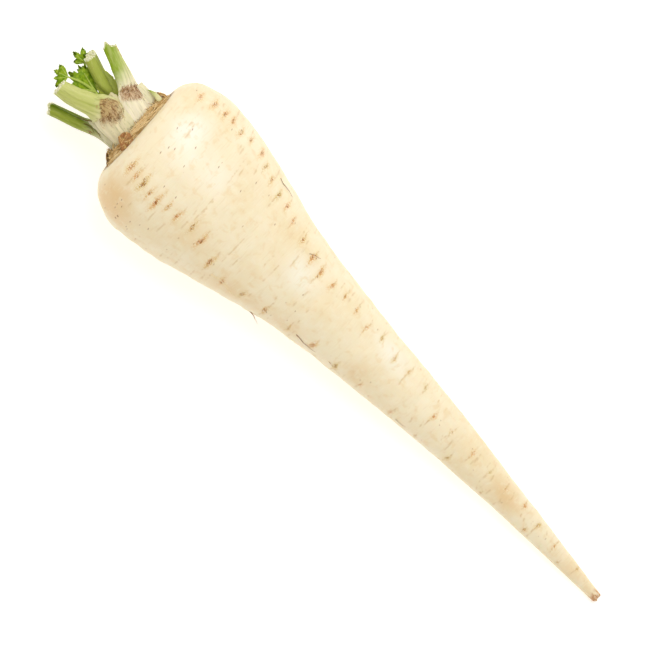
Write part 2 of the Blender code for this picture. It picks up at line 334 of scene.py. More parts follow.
def make_scars():
    chance = np.random.default_rng(5)
    scars = []
    for row in SCAR_ROWS:
        runs, angles = zip(*row.guide)
        run = row.first
        while run < LAST_SCAR:
            swing = chance.normal(0, 2 + row.swing * float(smooth_step(60, 180, run)))
            angle = math.radians(np.interp(run, runs, angles) + swing)
            size = chance.uniform(0.6, 1.0) * (1 - 0.3 * float(smooth_step(60, 150, run)))
            olive = 0.9 * chance.random() ** 2
            scars.append(Scar(run * MM, angle, size, *chance.uniform(0.7, 3.2, 2), olive))
            run += (row.gap + row.widening * run) * chance.uniform(0.8, 1.2)
    return scars


SCARS = make_scars()
ROOT_SIDES = 168
SHOULDER_ROWS = 58
TAPER_ROWS = 490


def root_rows():
    """(run, radius, depth) of each ring, from the recess's floor over the shoulder to the tip."""
    wall = RIM_RADIUS - RECESS_LIP
    rows = [(0.0, wall * share, RECESS_DEPTH) for share in np.linspace(0.05, 1.0, 8)]
    rows += [(0.0, wall + 0.1 * MM, RECESS_DEPTH * share) for share in (0.8, 0.55, 0.35)]
    rows.append((0.0, RIM_RADIUS - 0.5 * RECESS_LIP, 0.1 * MM))
    for index in range(SHOULDER_ROWS):
        run = SHOULDER_RUN * (1 - math.cos(math.pi / 2 * (index + 0.5) / SHOULDER_ROWS))
        rows.append((run, float(root_radius(run)), 0.0))
    for run in np.linspace(SHOULDER_RUN, ROOT_RUN - 0.5 * MM, TAPER_ROWS):
        rows.append((run, float(root_radius(run)), 0.0))
    end = float(root_radius(ROOT_RUN))
    rows += [(ROOT_RUN - 0.15 * MM, 0.88 * end, 0.0), (ROOT_RUN, 0.6 * end, 0.0)]
    return np.array(rows)


CREASE_COUNT = 260


def make_creases():
    """Faint cross creases of the skin: (run, angle, half-length in mm, how far it wanders in mm)."""
    chance = np.random.default_rng(44)
    creases = []
    for _ in range(CREASE_COUNT):
        run = chance.uniform(0.03, 0.97) * ROOT_RUN
        reach = float(root_radius(run)) / MM
        creases.append((run, chance.uniform(0, TAU), chance.uniform(0.12, 0.45) * reach,
                        chance.uniform(0.1, 0.5)))
    return creases


CREASES = make_creases()


def turn_between(angle, middle):
    return (angle - middle + math.pi) % TAU - math.pi


def add_specks(speck, rows):
    """Dark specks one point wide: in clusters, strewn over the root, and a few in every scar."""
    chance = np.random.default_rng(12)
    places = []
    for run, angle, along, around, count in SPECK_CLUSTERS:
        for _ in range(count):
            place = max(run + chance.normal(0, along), 3.0) * MM
            places.append((place, math.radians(angle + chance.normal(0, around)), SPECK_STRENGTH))
    for _ in range(STRAY_SPECKS):
        run = (0.02 + 0.95 * chance.random() ** 1.2) * ROOT_RUN
        places.append((run, chance.uniform(0, TAU), SPECK_STRENGTH))
    for scar in SCARS:
        reach = float(root_radius(scar.run))
        for _ in range(1 + round(3 * scar.size)):
            run = scar.run + chance.normal(0, 0.40) * MM
            turn = chance.normal(0, 0.9) * MM * scar.size / reach
            places.append((run, scar.angle + turn, chance.uniform(0.5, 1.0) * (0.4 + 0.6 * scar.size)))
    for run, angle, strength in places:
        row = np.abs(rows[:, 0] - run).argmin()
        side = round(angle / TAU * ROOT_SIDES) % ROOT_SIDES
        speck[row, side] = max(speck[row, side], strength)


# Unevenness of the skin: (height in mm, size of its features in mm along and round, shift, layers)
SKIN_RELIEF = (
    (0.34, (17, 13, 13), 0, 3),  # lumps
    (0.23, (5, 7, 7), 9, 2),  # knobs
    (0.13, (3.2, 26, 26), 5, 2),  # bands round the root
)
WRINKLE_HEIGHT = 0.045  # mm, and so are the next four
SCAR_LIP = 0.15
SCAR_PIT = 0.26
SCAR_TAIL = 0.08
CREASE_DEPTH = 0.07
SCAR_NEAR = 4 * MM  # along the root, how far a scar shows
CREASE_NEAR = 2 * MM
BROKEN_TIP = 1.2 * MM
NOTCH_ANGLE = math.radians(70)


def skin_relief(grown, run, radius):
    """Height of the lumps, knobs, bands and wrinkles, less at the rim and the tip."""
    size = np.clip(radius / (10 * MM), 0.12, 1.0)
    height = 0.0
    for most, features, shift, layers in SKIN_RELIEF:
        height = height + most * size * layered_noise(grown / features + shift, layers)
    wrinkled = smooth_step(0.0, 0.7, layered_noise(grown / (28, 16, 16) + 31, 2))
    height = height + WRINKLE_HEIGHT * wrinkled * layered_noise(grown / (0.85, 9, 9) + 3, 2)
    shown = smooth_step(0.0, 3.0 * MM, run) * (1 - 0.6 * smooth_step(ROOT_RUN - 6 * MM, ROOT_RUN, run))
    return height * MM * shown


def mark_scars(height, colours, run, radius, angle):
    """Cuts the scars' pits, lips and tails into the skin, and marks how strongly each colour shows."""
    for index, scar in enumerate(SCARS):
        near = np.abs(run[:, 0] - scar.run) < SCAR_NEAR
        reach = np.maximum(radius[near], 2 * MM) / MM
        off = (run[near] - scar.run) / MM
        turn = turn_between(angle[near], scar.angle) * reach
        half = (1.1 + 1.2 * scar.size) * (0.35 + 0.65 * float(root_radius(scar.run)) / SHOULDER_RADIUS)
        off = off + 0.22 * np.sin(turn / 1.1 + 2.3 * index)
        pit = bell(off / 0.45) * bell(turn / (0.7 * half))
        lips = bell(off / 1.3) * bell(turn / (1.5 * half)) - pit
        tail = bell(off / 0.36) * bell(turn / (0.8 + 1.5 * np.where(turn < 0, scar.ahead, scar.behind)))
        height[near] += MM * scar.size * (SCAR_LIP * lips - SCAR_PIT * pit - SCAR_TAIL * tail)
        shown = {
            "scar": scar.size * bell(off / 0.72) * bell(turn / (0.9 * half)),
            "halo": scar.size * bell(off / 1.25) * bell(turn / (2.1 * half)),
            "crease": scar.size * tail,
            "olive": scar.olive * bell(off / 2) * bell(turn / 5),
        }
        for key, value in shown.items():
            colours[key][near] = np.maximum(colours[key][near], value)


def crease_lines(run, radius, angle):
    """How deep each place lies in a faint cross crease, from 0 to 1."""
    lines = np.zeros(run.shape)
    for start, middle, half, wander in CREASES:
        near = np.abs(run[:, 0] - start) < CREASE_NEAR
        turn = turn_between(angle[near], middle) * radius[near] / MM
        off = (run[near] - start) / MM + wander * np.sin(turn / (0.45 * half) + 9 * wander)
        lines[near] = np.maximum(lines[near], bell(off / 0.34) * smooth_step(half, 0.4 * half, np.abs(turn)))
    return lines


def skin_tone_and_light(grown, run, radius, angle):
    """Soft warm (above 0) and pale (below 0) patches: the pale ones are painted highlight, the warm ones
    partly the skin's tan and partly painted warm shade.
    """
    tone = 0.30 * layered_noise(grown / (13, 8, 8) + 77, 3)
    for run_mm, angle_deg, along, around, strength in TONE_AND_LIGHT_PATCHES:
        off = (run / MM - run_mm) / along
        turn = turn_between(angle, math.radians(angle_deg)) * radius / MM / around
        tone += strength * bell(off) * bell(turn)
    return tone


def make_root(material):
    rows = root_rows()
    run, radius, depth = (np.repeat(rows[:, column, None], ROOT_SIDES, axis=1) for column in range(3))
    angle = np.broadcast_to(ring_angles(ROOT_SIDES), run.shape)
    rings = root_point(run, angle, radius, depth)
    grown = np.stack([run + depth, radius * np.cos(angle), radius * np.sin(angle)], axis=-1) / MM

    height = skin_relief(grown, run, radius)
    colours = {key: np.zeros(run.shape) for key in ("scar", "halo", "crease", "olive", "speck")}
    mark_scars(height, colours, run, radius, angle)
    add_specks(colours["speck"], rows)
    lines = crease_lines(run, radius, angle)
    height -= CREASE_DEPTH * MM * lines
    rings = rings + grid_normals(rings) * height[..., None]
    rings[..., 2] = np.maximum(rings[..., 2], 0.0)

    broken = smooth_step(ROOT_RUN - BROKEN_TIP, ROOT_RUN, run)
    ragged = layered_noise(grown / (50, 0.9, 0.9) + 8, 2) * 0.5 * MM
    notch = -0.7 * MM * bell(turn_between(angle, NOTCH_ANGLE) / 0.5)
    rings[..., 0] += broken * (ragged + notch)

    beyond = (radius - RIM_RADIUS) / MM + 0.7 * layered_noise(grown / 1.7 + 5, 3)
    cloth = Cloth()
    cloth.add_rings(rings, {
        "grown": grown,
        "tip": smooth_step(ROOT_RUN - 7 * MM, ROOT_RUN, run),
        "rim": (1 - smooth_step(0.1, 1.7, beyond)) * (run < SHOULDER_RUN),
        "line": lines,
        # tone: random tone and tan patches, with painted highlight over the top and painted warm shade below
        "tone": skin_tone_and_light(grown, run, radius, angle),
        **colours,
    })
    return cloth.build("parsnip_root", material)


# --- Crown: collar, scales and leaf stalks ----------------------------------------------------------


COLLAR_SIDES = 300
COLLAR_FOOT = 2.6 * MM  # how deep its foot reaches for 1 in its profile
LOW_END = 0.7  # radians on each side of the collar's low end, which is towards -Y
# The collar's section from the inside over the crest to its foot, in stretches that each end where the
# next begins: its points as (reach in mm, depth: the crest is at -1), and how many rings it takes.
COLLAR_SECTION = (
    (((11.2, 1.3), (11.5, -0.4), (11.7, -0.9), (12.1, -1.0)), 12),
    (((12.1, -1.0), (12.7, -0.93), (14.0, -0.55), (15.4, -0.12), (16.1, 0.12)), 34),
    (((16.1, 0.12), (15.9, 0.45), (15.3, 0.5)), 6),
)


def make_collar(material):
    """The dry ring of old leaf bases: a low cone, wrinkled along the ring, with a torn crest."""
    turn = ring_angles(COLLAR_SIDES)
    circle = np.stack([np.cos(turn), np.sin(turn)], axis=-1)
    torn = layered_noise(np.insert(circle * 9, 2, 4.0, axis=1), 3)
    fringe = lattice_noise(np.insert(circle * 60, 2, 2.0, axis=1))
    low_end = bell(turn_between(turn, math.pi) / LOW_END)
    crest = COLLAR_CREST * (1 - 0.40 * low_end) + (0.30 * torn + 0.40 * fringe) * MM
    last = COLLAR_SECTION[-1]
    profile = np.concatenate([
        curve_points(points, np.linspace(0, 1, rings, endpoint=(points, rings) == last))
        for points, rings in COLLAR_SECTION
    ])
    reach_mm = np.broadcast_to(profile[:, 0], (COLLAR_SIDES, len(profile)))
    reach = reach_mm * MM
    height = -profile[:, 1] * np.where(profile[:, 1] < 0, crest[:, None], COLLAR_FOOT)
    around = np.broadcast_to(turn[:, None], reach.shape)
    ring_place = np.stack([np.cos(around) * 13, np.sin(around) * 13, reach_mm], axis=-1)
    folds = layered_noise(ring_place / (5, 5, 0.5) + 3, 3)
    cracks = layered_noise(ring_place / (1.6, 1.6, 1.9) + 11, 2)
    outer = smooth_step(0, 8, np.arange(len(profile)))
    bulge = (0.22 * folds + 0.16 * cracks) * MM * outer
    height = height + bulge * 0.8
    reach = reach + bulge * 0.6
    points = np.stack([height, reach * np.cos(around), reach * np.sin(around)], axis=-1)
    world = from_crown(points)
    shade = np.clip(0.76 + 0.70 * folds + 0.60 * cracks - 0.55 * low_end[:, None], 0, 1)
    edge = smooth_step(14.6, 16.0, reach_mm)
    cloth = Cloth()
    cloth.add_rings(world, bark_values(ring_place, shade, 0.0, edge), loop=True)
    add_collar_strands(cloth)
    return cloth.build("crown_collar_ring", material)


COLLAR_STRANDS = 300
STRAND_POINTS = 14
COLLAR_BRISTLES = 300
strand_chance = np.random.default_rng(21)


def add_collar_strands(cloth):
    """Loose fibres that lie along the ring, and short bristles that stand round its crest."""
    for _ in range(COLLAR_STRANDS):
        reach = strand_chance.uniform(12.0, 16.0)
        start = strand_chance.uniform(0, TAU)
        low_end = float(bell(turn_between(start, math.pi) / LOW_END))
        uphill = (16.4 - reach) / 4.4
        height = 2.4 * (1 - 0.4 * low_end) * uphill + strand_chance.uniform(0.0, 0.3)
        swing = strand_chance.uniform(0.15, 0.75)
        steps = np.linspace(0, 1, STRAND_POINTS)
        turn = start + swing * steps
        drift = np.cumsum(strand_chance.normal(0, 0.10, (STRAND_POINTS, 2)), axis=0)
        lifted = height + drift[:, 0] + strand_chance.uniform(0, 0.9) * steps**3
        radial = reach + 0.6 * drift[:, 1]
        spine = np.stack([lifted, radial * np.cos(turn), radial * np.sin(turn)], axis=-1)
        add_spine(cloth, from_crown(spine * MM), strand_chance.uniform(0.05, 0.17) * MM,
                  strand_chance.uniform(0.1, 1.2) - 0.6 * low_end, 0.0)
    for _ in range(COLLAR_BRISTLES):
        turn = strand_chance.uniform(0, TAU)
        reach = strand_chance.uniform(11.4, 12.8)
        length = strand_chance.uniform(0.5, 2.4)
        lean = strand_chance.normal(0, 0.35, 3) * (0.3, 1, 1)
        share = np.linspace(0, 1, 6)[:, None]
        foot = np.array([1.6, reach * math.cos(turn), reach * math.sin(turn)])
        inward = np.array([1.0, -0.25 * math.cos(turn), -0.25 * math.sin(turn)])
        spine = foot + length * (inward * share + lean * share**2)
        add_spine(cloth, from_crown(spine * MM), strand_chance.uniform(0.05, 0.13) * MM,
                  strand_chance.uniform(0.0, 0.8), 0.0)


def bark_values(grown, shade, red, edge=0.0):
    """What the bark material reads: places in mm, and numbers that may be the same all over."""
    grid = grown.shape[:2]
    return {"shade": np.broadcast_to(shade, grid), "grown": grown, "edge": np.broadcast_to(edge, grid),
            "red": np.broadcast_to(red, grid)}


def add_spine(cloth, spine, radius, shade, red):
    """A fibre along world places, a little flat and thin at both ends."""
    share = np.linspace(0, 1, len(spine))
    girth = (radius * (0.15 + 0.85 * np.sin(math.pi * np.clip(share, 0.02, 0.97)) ** 0.5))[:, None]
    rings = tube_rings(spine, girth, 0.7 * girth, 7, FIBRE_HINT)
    cloth.add_rings(rings, bark_values(rings / MM, shade, red))


@dataclass
class Stalk:
    """One cut leaf stalk, as in the CAD, with how it is coloured and where its base is dry and brown."""

    name: str
    path: tuple  # points (out of the crown, across to +Y, up) in mm
    widths: tuple  # (out of the crown, width) in mm
    thickness: float  # metres
    cut_slant: float  # how far the cut runs out for each step across
    ribs: int
    rib_height: float  # mm
    light: tuple  # its lighter green
    dark: tuple  # and its darker one
    lean: float  # painted shade: how much darker its +Y edge is, or the other edge where it is below 0
    painted_edge_highlight: float  # painted highlight: how strongly a light edge shows on its +Y side
    sheath: tuple  # the colour of its clasping base
    green_from: float  # mm out of the crown
    # The dry patch is a box turned 45 degrees: its middle (out, across), half-height and half-width in mm.
    # It is None where there is no patch.
    brown: tuple
    spots: tuple  # small dark spots: (out, across, radius) in mm
    flap: tuple  # the torn point at the cut: its angle, reach in mm and half-width in radians


FOOT = -(RECESS_DEPTH - 0.45 * MM) / MM
STALKS = (
    Stalk("leaf_stalk_middle", ((FOOT, 5.1, -6.5), (8.0, 4.2, -5.0), (14.0, 3.1, -1.6), (20.0, 4.2, 1.4),
                                (29.4, 7.5, 3.6)),
          ((0, 13.0), (5, 13.0), (14, 8.2), (19, 7.6), (24, 6.2), (29.4, 5.2)), 4.8 * MM, 0.25, 4, 0.05,
          srgb(172, 182, 84), srgb(104, 116, 6), -0.5, 0.45, srgb(222, 218, 168), 5.5, None, (),
          (2.6, 0.4, 0.33)),
    Stalk("leaf_stalk_right", ((FOOT, 5.1, 7.1), (8.5, 7.3, 5.9), (12.9, 8.8, 5.2), (19.0, 11.1, 5.8),
                               (26.5, 14.2, 6.8)),
          ((0, 14.6), (3.5, 14.6), (8.5, 12.8), (12.9, 10.8), (16, 8.8), (19, 7.2), (22.5, 5.2), (26.5, 4.0)),
          5.0 * MM, -0.7, 6, 0.10,
          srgb(222, 224, 158), srgb(138, 166, 30), -0.75, 0.4, srgb(252, 243, 214), 14.0,
          (10.0, 8.4, 2.7, 4.6), ((24.6, 0.5, 0.6), (25.8, -0.4, 0.35), (22.6, 0.8, 0.4)),
          (3.0, 1.9, 0.33)),
    Stalk("leaf_stalk_left", ((FOOT, -7.8, -4.6), (8.6, -8.9, -3.4), (16.5, -11.0, -2.0),
                              (27.0, -14.0, -1.4)),
          ((0, 13.4), (6, 13.0), (11, 9.6), (17, 6.6), (27, 5.8)), 4.8 * MM, 0.35, 6, 0.10,
          srgb(188, 200, 88), srgb(96, 118, 0), -0.15, 0.9, srgb(216, 212, 172), 10.5,
          (12.4, -8.2, 2.6, 1.6), ((17.3, 0.9, 0.8), (16.2, 1.6, 0.5), (12.6, 2.2, 0.7)),
          (3.7, 1.6, 0.9)),
    Stalk("leaf_stalk_front", ((FOOT, -5.8, 6.9), (8.5, -4.6, 8.2), (13.0, -2.8, 9.5), (18.5, -4.2, 9.7),
                               (24.5, -6.0, 10.2), (30.1, -6.9, 10.6)),
          ((0, 8.4), (3.5, 8.8), (8.5, 10.8), (12.5, 12.0), (15.5, 10.2), (18.5, 8.0), (24.5, 7.2),
           (30.1, 5.7)), 5.2 * MM, -0.04, 5, 0.06,
          srgb(212, 214, 140), srgb(170, 182, 78), 0.15, 0.3, srgb(242, 232, 194), 11.5,
          (11.6, -1.4, 4.6, 4.0), ((14.7, 3.9, 0.45), (16.3, 1.0, 0.3)), (1.2, 0.4, 0.33)),
)
STALK_SIDES = 96
STALK_ROWS = 120
CUT_ROWS = 9
CUT_FRAY = 0.45 * MM
CUT_HOLLOW = 0.55 * MM
CUT_GRAIN = 0.14 * MM
CUT_EDGE = 0.6  # how much the last rings before the cut look like it


def widths_at(widths, out):
    """The widths at distances out of the crown, eased from each listed width to the next."""
    found = np.full(out.shape, float(widths[0][1]))
    for (start, low), (end, high) in zip(widths, widths[1:]):
        found += (high - low) * smooth_step(start, end, out)
    return found


def stalk_grid(stalk):
    """The stalk's surface as rings, with where each point is along, across and through it, in mm."""
    share = np.linspace(0, 1, STALK_ROWS)
    centre = curve_points(stalk.path, share) * MM
    along = unit(np.gradient(centre, axis=0))
    along[0] = (1.0, 0.0, 0.0)
    outward = unit(centre * (0, 1, 1))
    outward = unit(outward - along * (along * outward).sum(axis=1, keepdims=True))
    side = np.cross(along, outward)
    side *= np.where(side[:, 1:2].mean() < 0, -1, 1)
    out = centre[:, 0]
    grown = smooth_step(CLASP_TOP, STALK_START, out)[:, None]
    width = widths_at(stalk.widths, out / MM)[:, None] * MM
    thickness = blend(CLASP_THICKNESS, stalk.thickness, grown)
    curl = 1 / blend(1 / CLASP_RADIUS, 1 / STRAIGHT_CURL, grown)

    angle = ring_angles(STALK_SIDES)
    across = 0.5 * width * np.sign(np.cos(angle)) * np.abs(np.cos(angle)) ** 0.9
    depth = 0.5 * thickness * np.sin(angle)
    channel = 0.6 * bell(np.cos(angle) / 0.5)
    depth = np.where(depth < 0, depth * (1 - channel), depth)
    place = across / width
    ribs = np.cos(TAU * stalk.ribs * place) * np.clip(np.sin(angle), 0, 1) ** 0.4
    depth = depth + ribs * stalk.rib_height * blend(0.7, 1.0, grown) * MM
    turn = across / curl
    reach = curl + depth
    rings = (centre[:, None] + outward[:, None] * (reach * np.cos(turn) - curl)[..., None]
             + side[:, None] * (reach * np.sin(turn))[..., None])
    slant = stalk.cut_slant * smooth_step(0.8, 1.0, share)[:, None]
    where = np.stack([np.broadcast_to(out[:, None], across.shape), across, depth], axis=-1) / MM
    lumps = layered_noise(where / (4.0, 2.2, 2.2) + 7 * stalk.ribs, 2) * 0.12 * MM
    rings = rings + grid_normals(rings) * lumps[..., None]
    offset = (side[:, None] * across[..., None])[..., 1]
    torn = smooth_step(0.93, 1.0, share)[:, None]
    round_cut = np.stack([np.cos(angle) * 3, np.sin(angle) * 3, np.zeros(STALK_SIDES)], axis=-1)
    fray = CUT_FRAY * layered_noise(round_cut + stalk.ribs, 3)
    flap = stalk.flap[1] * MM * bell(turn_between(angle, stalk.flap[0]) / stalk.flap[2])
    rings = rings + along[:, None] * (slant * offset + torn * (fray + flap))[..., None]
    return rings, where, ribs, angle


def dry_patch(patch, places, where):
    """How brown each place (crown's frame, mm) is: a ragged box, hard at its top and sides."""
    middle, sideways, height, width = patch
    ahead, aside = places[..., 0] - middle, places[..., 1] - sideways
    up, right = (ahead + aside) * math.sqrt(0.5), (aside - ahead) * math.sqrt(0.5)
    up = (up + 0.9 * layered_noise(where / (1.9, 0.8, 0.8) + 2, 3)) / height
    right = (right + 0.9 * layered_noise(where / (1.9, 0.8, 0.8) + 12, 3)) / width
    brown = smooth_step(-1.15, -0.7, right) * smooth_step(1.5, 0.0, right)
    return brown * smooth_step(1.1, 0.7, up) * smooth_step(-1.5, -0.1, up)


def cut_end(rings, where):
    """The hollowed, grainy face of the cut: rings that close in on its middle, and where they are."""
    last, hub = rings[-1], rings[-1].mean(axis=0)
    axis = unit(rings[-1] - rings[-6]).mean(axis=0)
    steps = np.linspace(0, 1, CUT_ROWS + 1)[1:-1, None, None]
    cap = blend(last, hub, steps)
    grain = layered_noise(cap / (0.8 * MM) + 40, 2)[..., None]
    cap = cap + axis * (CUT_GRAIN * grain - CUT_HOLLOW * smooth_step(0.0, 0.5, steps))
    return cap, blend(where[-1], where[-1].mean(axis=0), steps)


def make_stalk(stalk, material, fuzz):
    """The stalk's tube and cut end; its dry fibres go to the fuzz, which is a piece of its own."""
    rings, where, ribs, angle = stalk_grid(stalk)
    out, across = where[..., 0], where[..., 1]
    green = smooth_step(stalk.green_from - 3, stalk.green_from + 7, out + 1.5 * layered_noise(where / 2.5, 2))
    half = np.maximum(np.abs(across).max(axis=1, keepdims=True), 0.1)
    # painted shade: one edge of the stalk darker than the other, by its lean
    edge = across / half * stalk.lean
    streak = layered_noise(where / (16, 0.8, 0.8) + 3 * stalk.ribs, 2)
    # painted highlight along the stalk's +Y edge
    painted_highlight = stalk.painted_edge_highlight * smooth_step(0.45, 0.9, across / half)
    darkness = np.clip(0.42 + 0.60 * edge - 0.10 * ribs + 0.32 * streak - painted_highlight, 0, 1)
    # painted shade: the inner face with its channel is darker
    inside = smooth_step(0.2, -0.4, np.sin(angle))[None]
    darkness = np.clip(darkness + 0.35 * inside, 0, 1)
    tint = blend(np.array(stalk.light[:3]), np.array(stalk.dark[:3]), darkness[..., None])
    cream = np.array(stalk.sheath[:3]) * (1 - 0.14 * np.clip(0.5 - 0.5 * ribs + streak, 0, 1))[..., None]
    base = blend(cream, tint, green[..., None])
    brown = np.zeros(out.shape)
    if stalk.brown:
        brown = dry_patch(stalk.brown, rings / MM, where) * smooth_step(-0.1, 0.3, np.sin(angle))
        add_fuzz(fuzz, rings, brown)
    for spot_out, spot_across, radius in stalk.spots:
        spot = bell(np.hypot(out - spot_out, across - spot_across) / radius) * (np.sin(angle) > 0)
        brown = np.maximum(brown, 1.4 * spot)
    cut = np.zeros(out.shape)
    cut[-3:] = CUT_EDGE

    cap, cap_where = cut_end(rings, where)
    rings = np.concatenate([rings, cap])
    where = np.concatenate([where, cap_where])
    pad = (len(cap), STALK_SIDES)
    base = np.concatenate([base, np.broadcast_to(base[-1], pad + (3,))])
    attributes = {
        "grown": where,
        "base": base,
        "brown": np.concatenate([brown, np.zeros(pad)]),
        "cut": np.concatenate([cut, np.ones(pad)]),
    }
    cloth = Cloth()
    cloth.add_rings(from_crown(rings), attributes)
    add_membranes(cloth, stalk)
    return cloth.build(stalk.name + "_ribbed", material)


FUZZ_PER_PATCH = 300
FIBRE_RED = 0.45
fuzz_chance = np.random.default_rng(11)


def add_fibre(cloth, start, direction, bend, length, radius, shade):
    """A short tapering fibre, in world metres."""
    steps = np.linspace(0, 1, 5)[:, None]
    spine = start + direction * (length * steps) + bend * (length * steps**2)
    girth = radius * (1 - 0.85 * steps)
    rings = tube_rings(spine, girth, -girth, 5, FIBRE_HINT)
    cloth.add_rings(rings, bark_values(rings / MM, shade, FIBRE_RED))


def add_fuzz(cloth, rings, mask):
    """Dry fibres lying over a brown patch of a stalk's base."""
    world = from_crown(rings)
    normals = grid_normals(world)
    along = unit(np.gradient(world, axis=0))
    rows, columns = np.nonzero(mask > 0.3)
    picks = fuzz_chance.choice(len(rows), FUZZ_PER_PATCH)
    for row, column in zip(rows[picks], columns[picks]):
        swing = fuzz_chance.normal(0, 0.45, 3)
        heading = along[row, column] * fuzz_chance.choice([-1, 1])
        direction = unit(heading + 0.22 * normals[row, column] + swing)
        lie = -0.25 * normals[row, column]
        start = world[row, column] - 0.04 * MM * normals[row, column]
        add_fibre(cloth, start, direction, lie, fuzz_chance.uniform(0.5, 2.0) * MM,
                  fuzz_chance.uniform(0.03, 0.08) * MM, fuzz_chance.choice([-0.2, 0.0, 0.1, 0.6]))


# Dark threads on the crown: the path (out, across, up) in mm, and the radius in mm
THREADS = (
    (((18.4, -10.3, 1.2), (16.6, -9.6, 2.2), (14.4, -8.4, 4.6), (12.0, -7.4, 6.4), (9.6, -6.7, 7.4)), 0.16),
    (((12.8, -8.4, 4.4), (11.2, -8.7, 4.2), (9.6, -9.6, 3.4), (8.0, -10.2, 2.6)), 0.12),
    (((16.9, -10.9, 0.4), (15.0, -10.2, 1.4), (12.6, -9.9, 2.2), (10.6, -10.4, 2.0)), 0.13),
)


def add_threads(cloth):
    for path, radius in THREADS:
        spine = curve_points(path, np.linspace(0, 1, 40))
        spine = spine + 0.25 * layered_noise(spine[:, None] * 0.9 + np.eye(3) * 30, 2)
        add_spine(cloth, from_crown(spine * MM), radius * MM, 0.0, 0.0)


@dataclass
class Shreds:
    """A dry scale on the crown as a bundle of torn strips."""

    name: str
    node: str  # the CAD node that it replaces
    path: tuple  # points (out, across, up) in mm along its middle
    width: float  # mm, of the whole scale
    count: int  # how many strips it has
    strip: float  # the width of a strip in mm
    red: float  # how reddish it is
    length_spread: float  # how much shorter some strips are
    shades: tuple  # the darkest and the lightest strip


SHREDS = (
    Shreds("crown_scale_right_curl", "crown_scale_right",
           ((0.4, 14.4, 2.2), (1.8, 14.5, 2.4), (3.2, 13.9, 1.9), (4.1, 12.9, 1.4)), 4.6, 22, 0.7, 0.15, 0.5,
           (0.1, 0.8)),
    Shreds("crown_scale_left_tuft", "crown_scale_left",
           ((-0.2, -14.6, -1.8), (0.8, -14.0, -1.8), (1.9, -13.3, -2.4), (2.8, -12.7, -2.8)), 4.6, 34, 0.32,
           0.0, 0.9, (-0.2, 0.4)),
    Shreds("crown_scale_front_red", "crown_scale_front",
           ((-0.2, -6.2, 14.6), (1.0, -5.8, 14.3), (2.4, -5.2, 13.4), (4.2, -4.4, 12.2)), 7.0, 5, 3.2, 1.3,
           0.15, (0.2, 0.6)),
)
shred_chance = np.random.default_rng(3)
SHRED_THICKNESS = 0.22  # mm
STRIP_ROWS = 22
STRIP_SIDES = 18


def strip_rings(path, width, thickness, twist, seed, facing=None, taper=0.75):
    """A thin torn strip along a path in the crown's frame (mm), narrowing by its taper at its end."""
    share = np.linspace(0, 1, STRIP_ROWS)
    spine = curve_points(path, share)
    along = unit(np.gradient(spine, axis=0))
    outward = unit(spine * (0, 1, 1)) if facing is None else np.array(facing)
    side = unit(np.cross(along, outward))
    face = np.cross(side, along)
    angle = ring_angles(STRIP_SIDES)
    left = 1 + 0.4 * layered_noise(spine * 1.3 + 60 * seed, 3)
    right = 1 + 0.4 * layered_noise(spine * 1.3 + 60 * seed + 9, 3)
    half = (0.5 * width * (1 - taper * share**2.2))[:, None]
    flat = half * np.cos(angle) * np.where(np.cos(angle) < 0, left[:, None], right[:, None])
    cupped = -0.25 * half * np.cos(angle) ** 2 * twist
    thick = 0.5 * thickness * np.sin(angle) + cupped
    rings = spine[:, None] + side[:, None] * flat[..., None] + face[:, None] * thick[..., None]
    return rings + (0.14 * layered_noise(rings / 0.9, 2))[..., None] * face[:, None]


def add_strip(cloth, path, width, thickness, twist, shade, red):
    rings = strip_rings(path, width, thickness, twist, shade)
    tone = np.clip(shade + 0.3 * layered_noise(rings / (2.5, 0.5, 0.5), 2), 0, 1)
    cloth.add_rings(from_crown(rings * MM), bark_values(rings, tone, red))


@dataclass
class Membrane:
    """A papery torn wing of a stalk's sheath."""

    stalk: str
    path: tuple  # points (out, across, up) in mm along its middle
    width: float  # mm
    facing: tuple  # which way its face looks, in the crown's frame
    taper: float  # how much of its width it loses by its end
    brown: float  # how brown and dry it is
    colour: tuple


MEMBRANES = (
    Membrane("leaf_stalk_left", ((1.0, -8.9, 3.6), (5.0, -8.3, 4.8), (9.5, -8.0, 5.0), (14.6, -8.9, 3.4)),
             5.0, (0, -0.45, 0.9), 0.85, 0.12, srgb(218, 212, 180)),
    Membrane("leaf_stalk_middle", ((0.2, -1.4, 9.9), (3.6, -1.1, 9.9), (7.2, 0.2, 9.8), (10.8, 2.2, 9.0)),
             6.0, (0, 0.0, 1.0), 0.5, 0.03, srgb(240, 232, 188)),
    Membrane("leaf_stalk_middle", ((8.0, 1.4, 1.6), (12.0, 1.2, 2.4), (16.0, 1.5, 2.9), (21.0, 2.5, 2.9)),
             4.6, (0, -0.1, 1.0), 0.6, 0.0, srgb(156, 166, 66)),
    Membrane("leaf_stalk_middle", ((10.0, 4.6, 3.2), (14.0, 5.6, 3.4), (18.0, 6.5, 3.3), (23.5, 7.4, 3.6)),
             3.4, (0, 0.1, 1.0), 0.9, 0.0, srgb(176, 186, 92)),
    Membrane("leaf_stalk_right", ((0.6, 9.9, 3.3), (3.6, 10.2, 3.9), (7.0, 10.8, 4.3), (10.6, 11.4, 4.6)),
             4.2, (0, 0.35, 0.9), 0.3, 0.05, srgb(244, 238, 204)),
    Membrane("leaf_stalk_right", ((0.2, 11.6, 1.9), (2.2, 11.6, 2.4), (4.2, 11.7, 2.8), (5.8, 11.9, 2.9)),
             2.6, (0, 0.5, 0.85), 0.3, 0.10, srgb(232, 226, 178)),
    Membrane("leaf_stalk_front", ((8.0, 0.4, 9.3), (10.6, 1.6, 9.2), (13.2, 2.6, 8.9), (15.8, 2.2, 8.8)),
             3.8, (0, 0.3, 0.95), 0.4, 0.30, srgb(222, 214, 172)),
)


WING_THICKNESS = 0.34  # mm


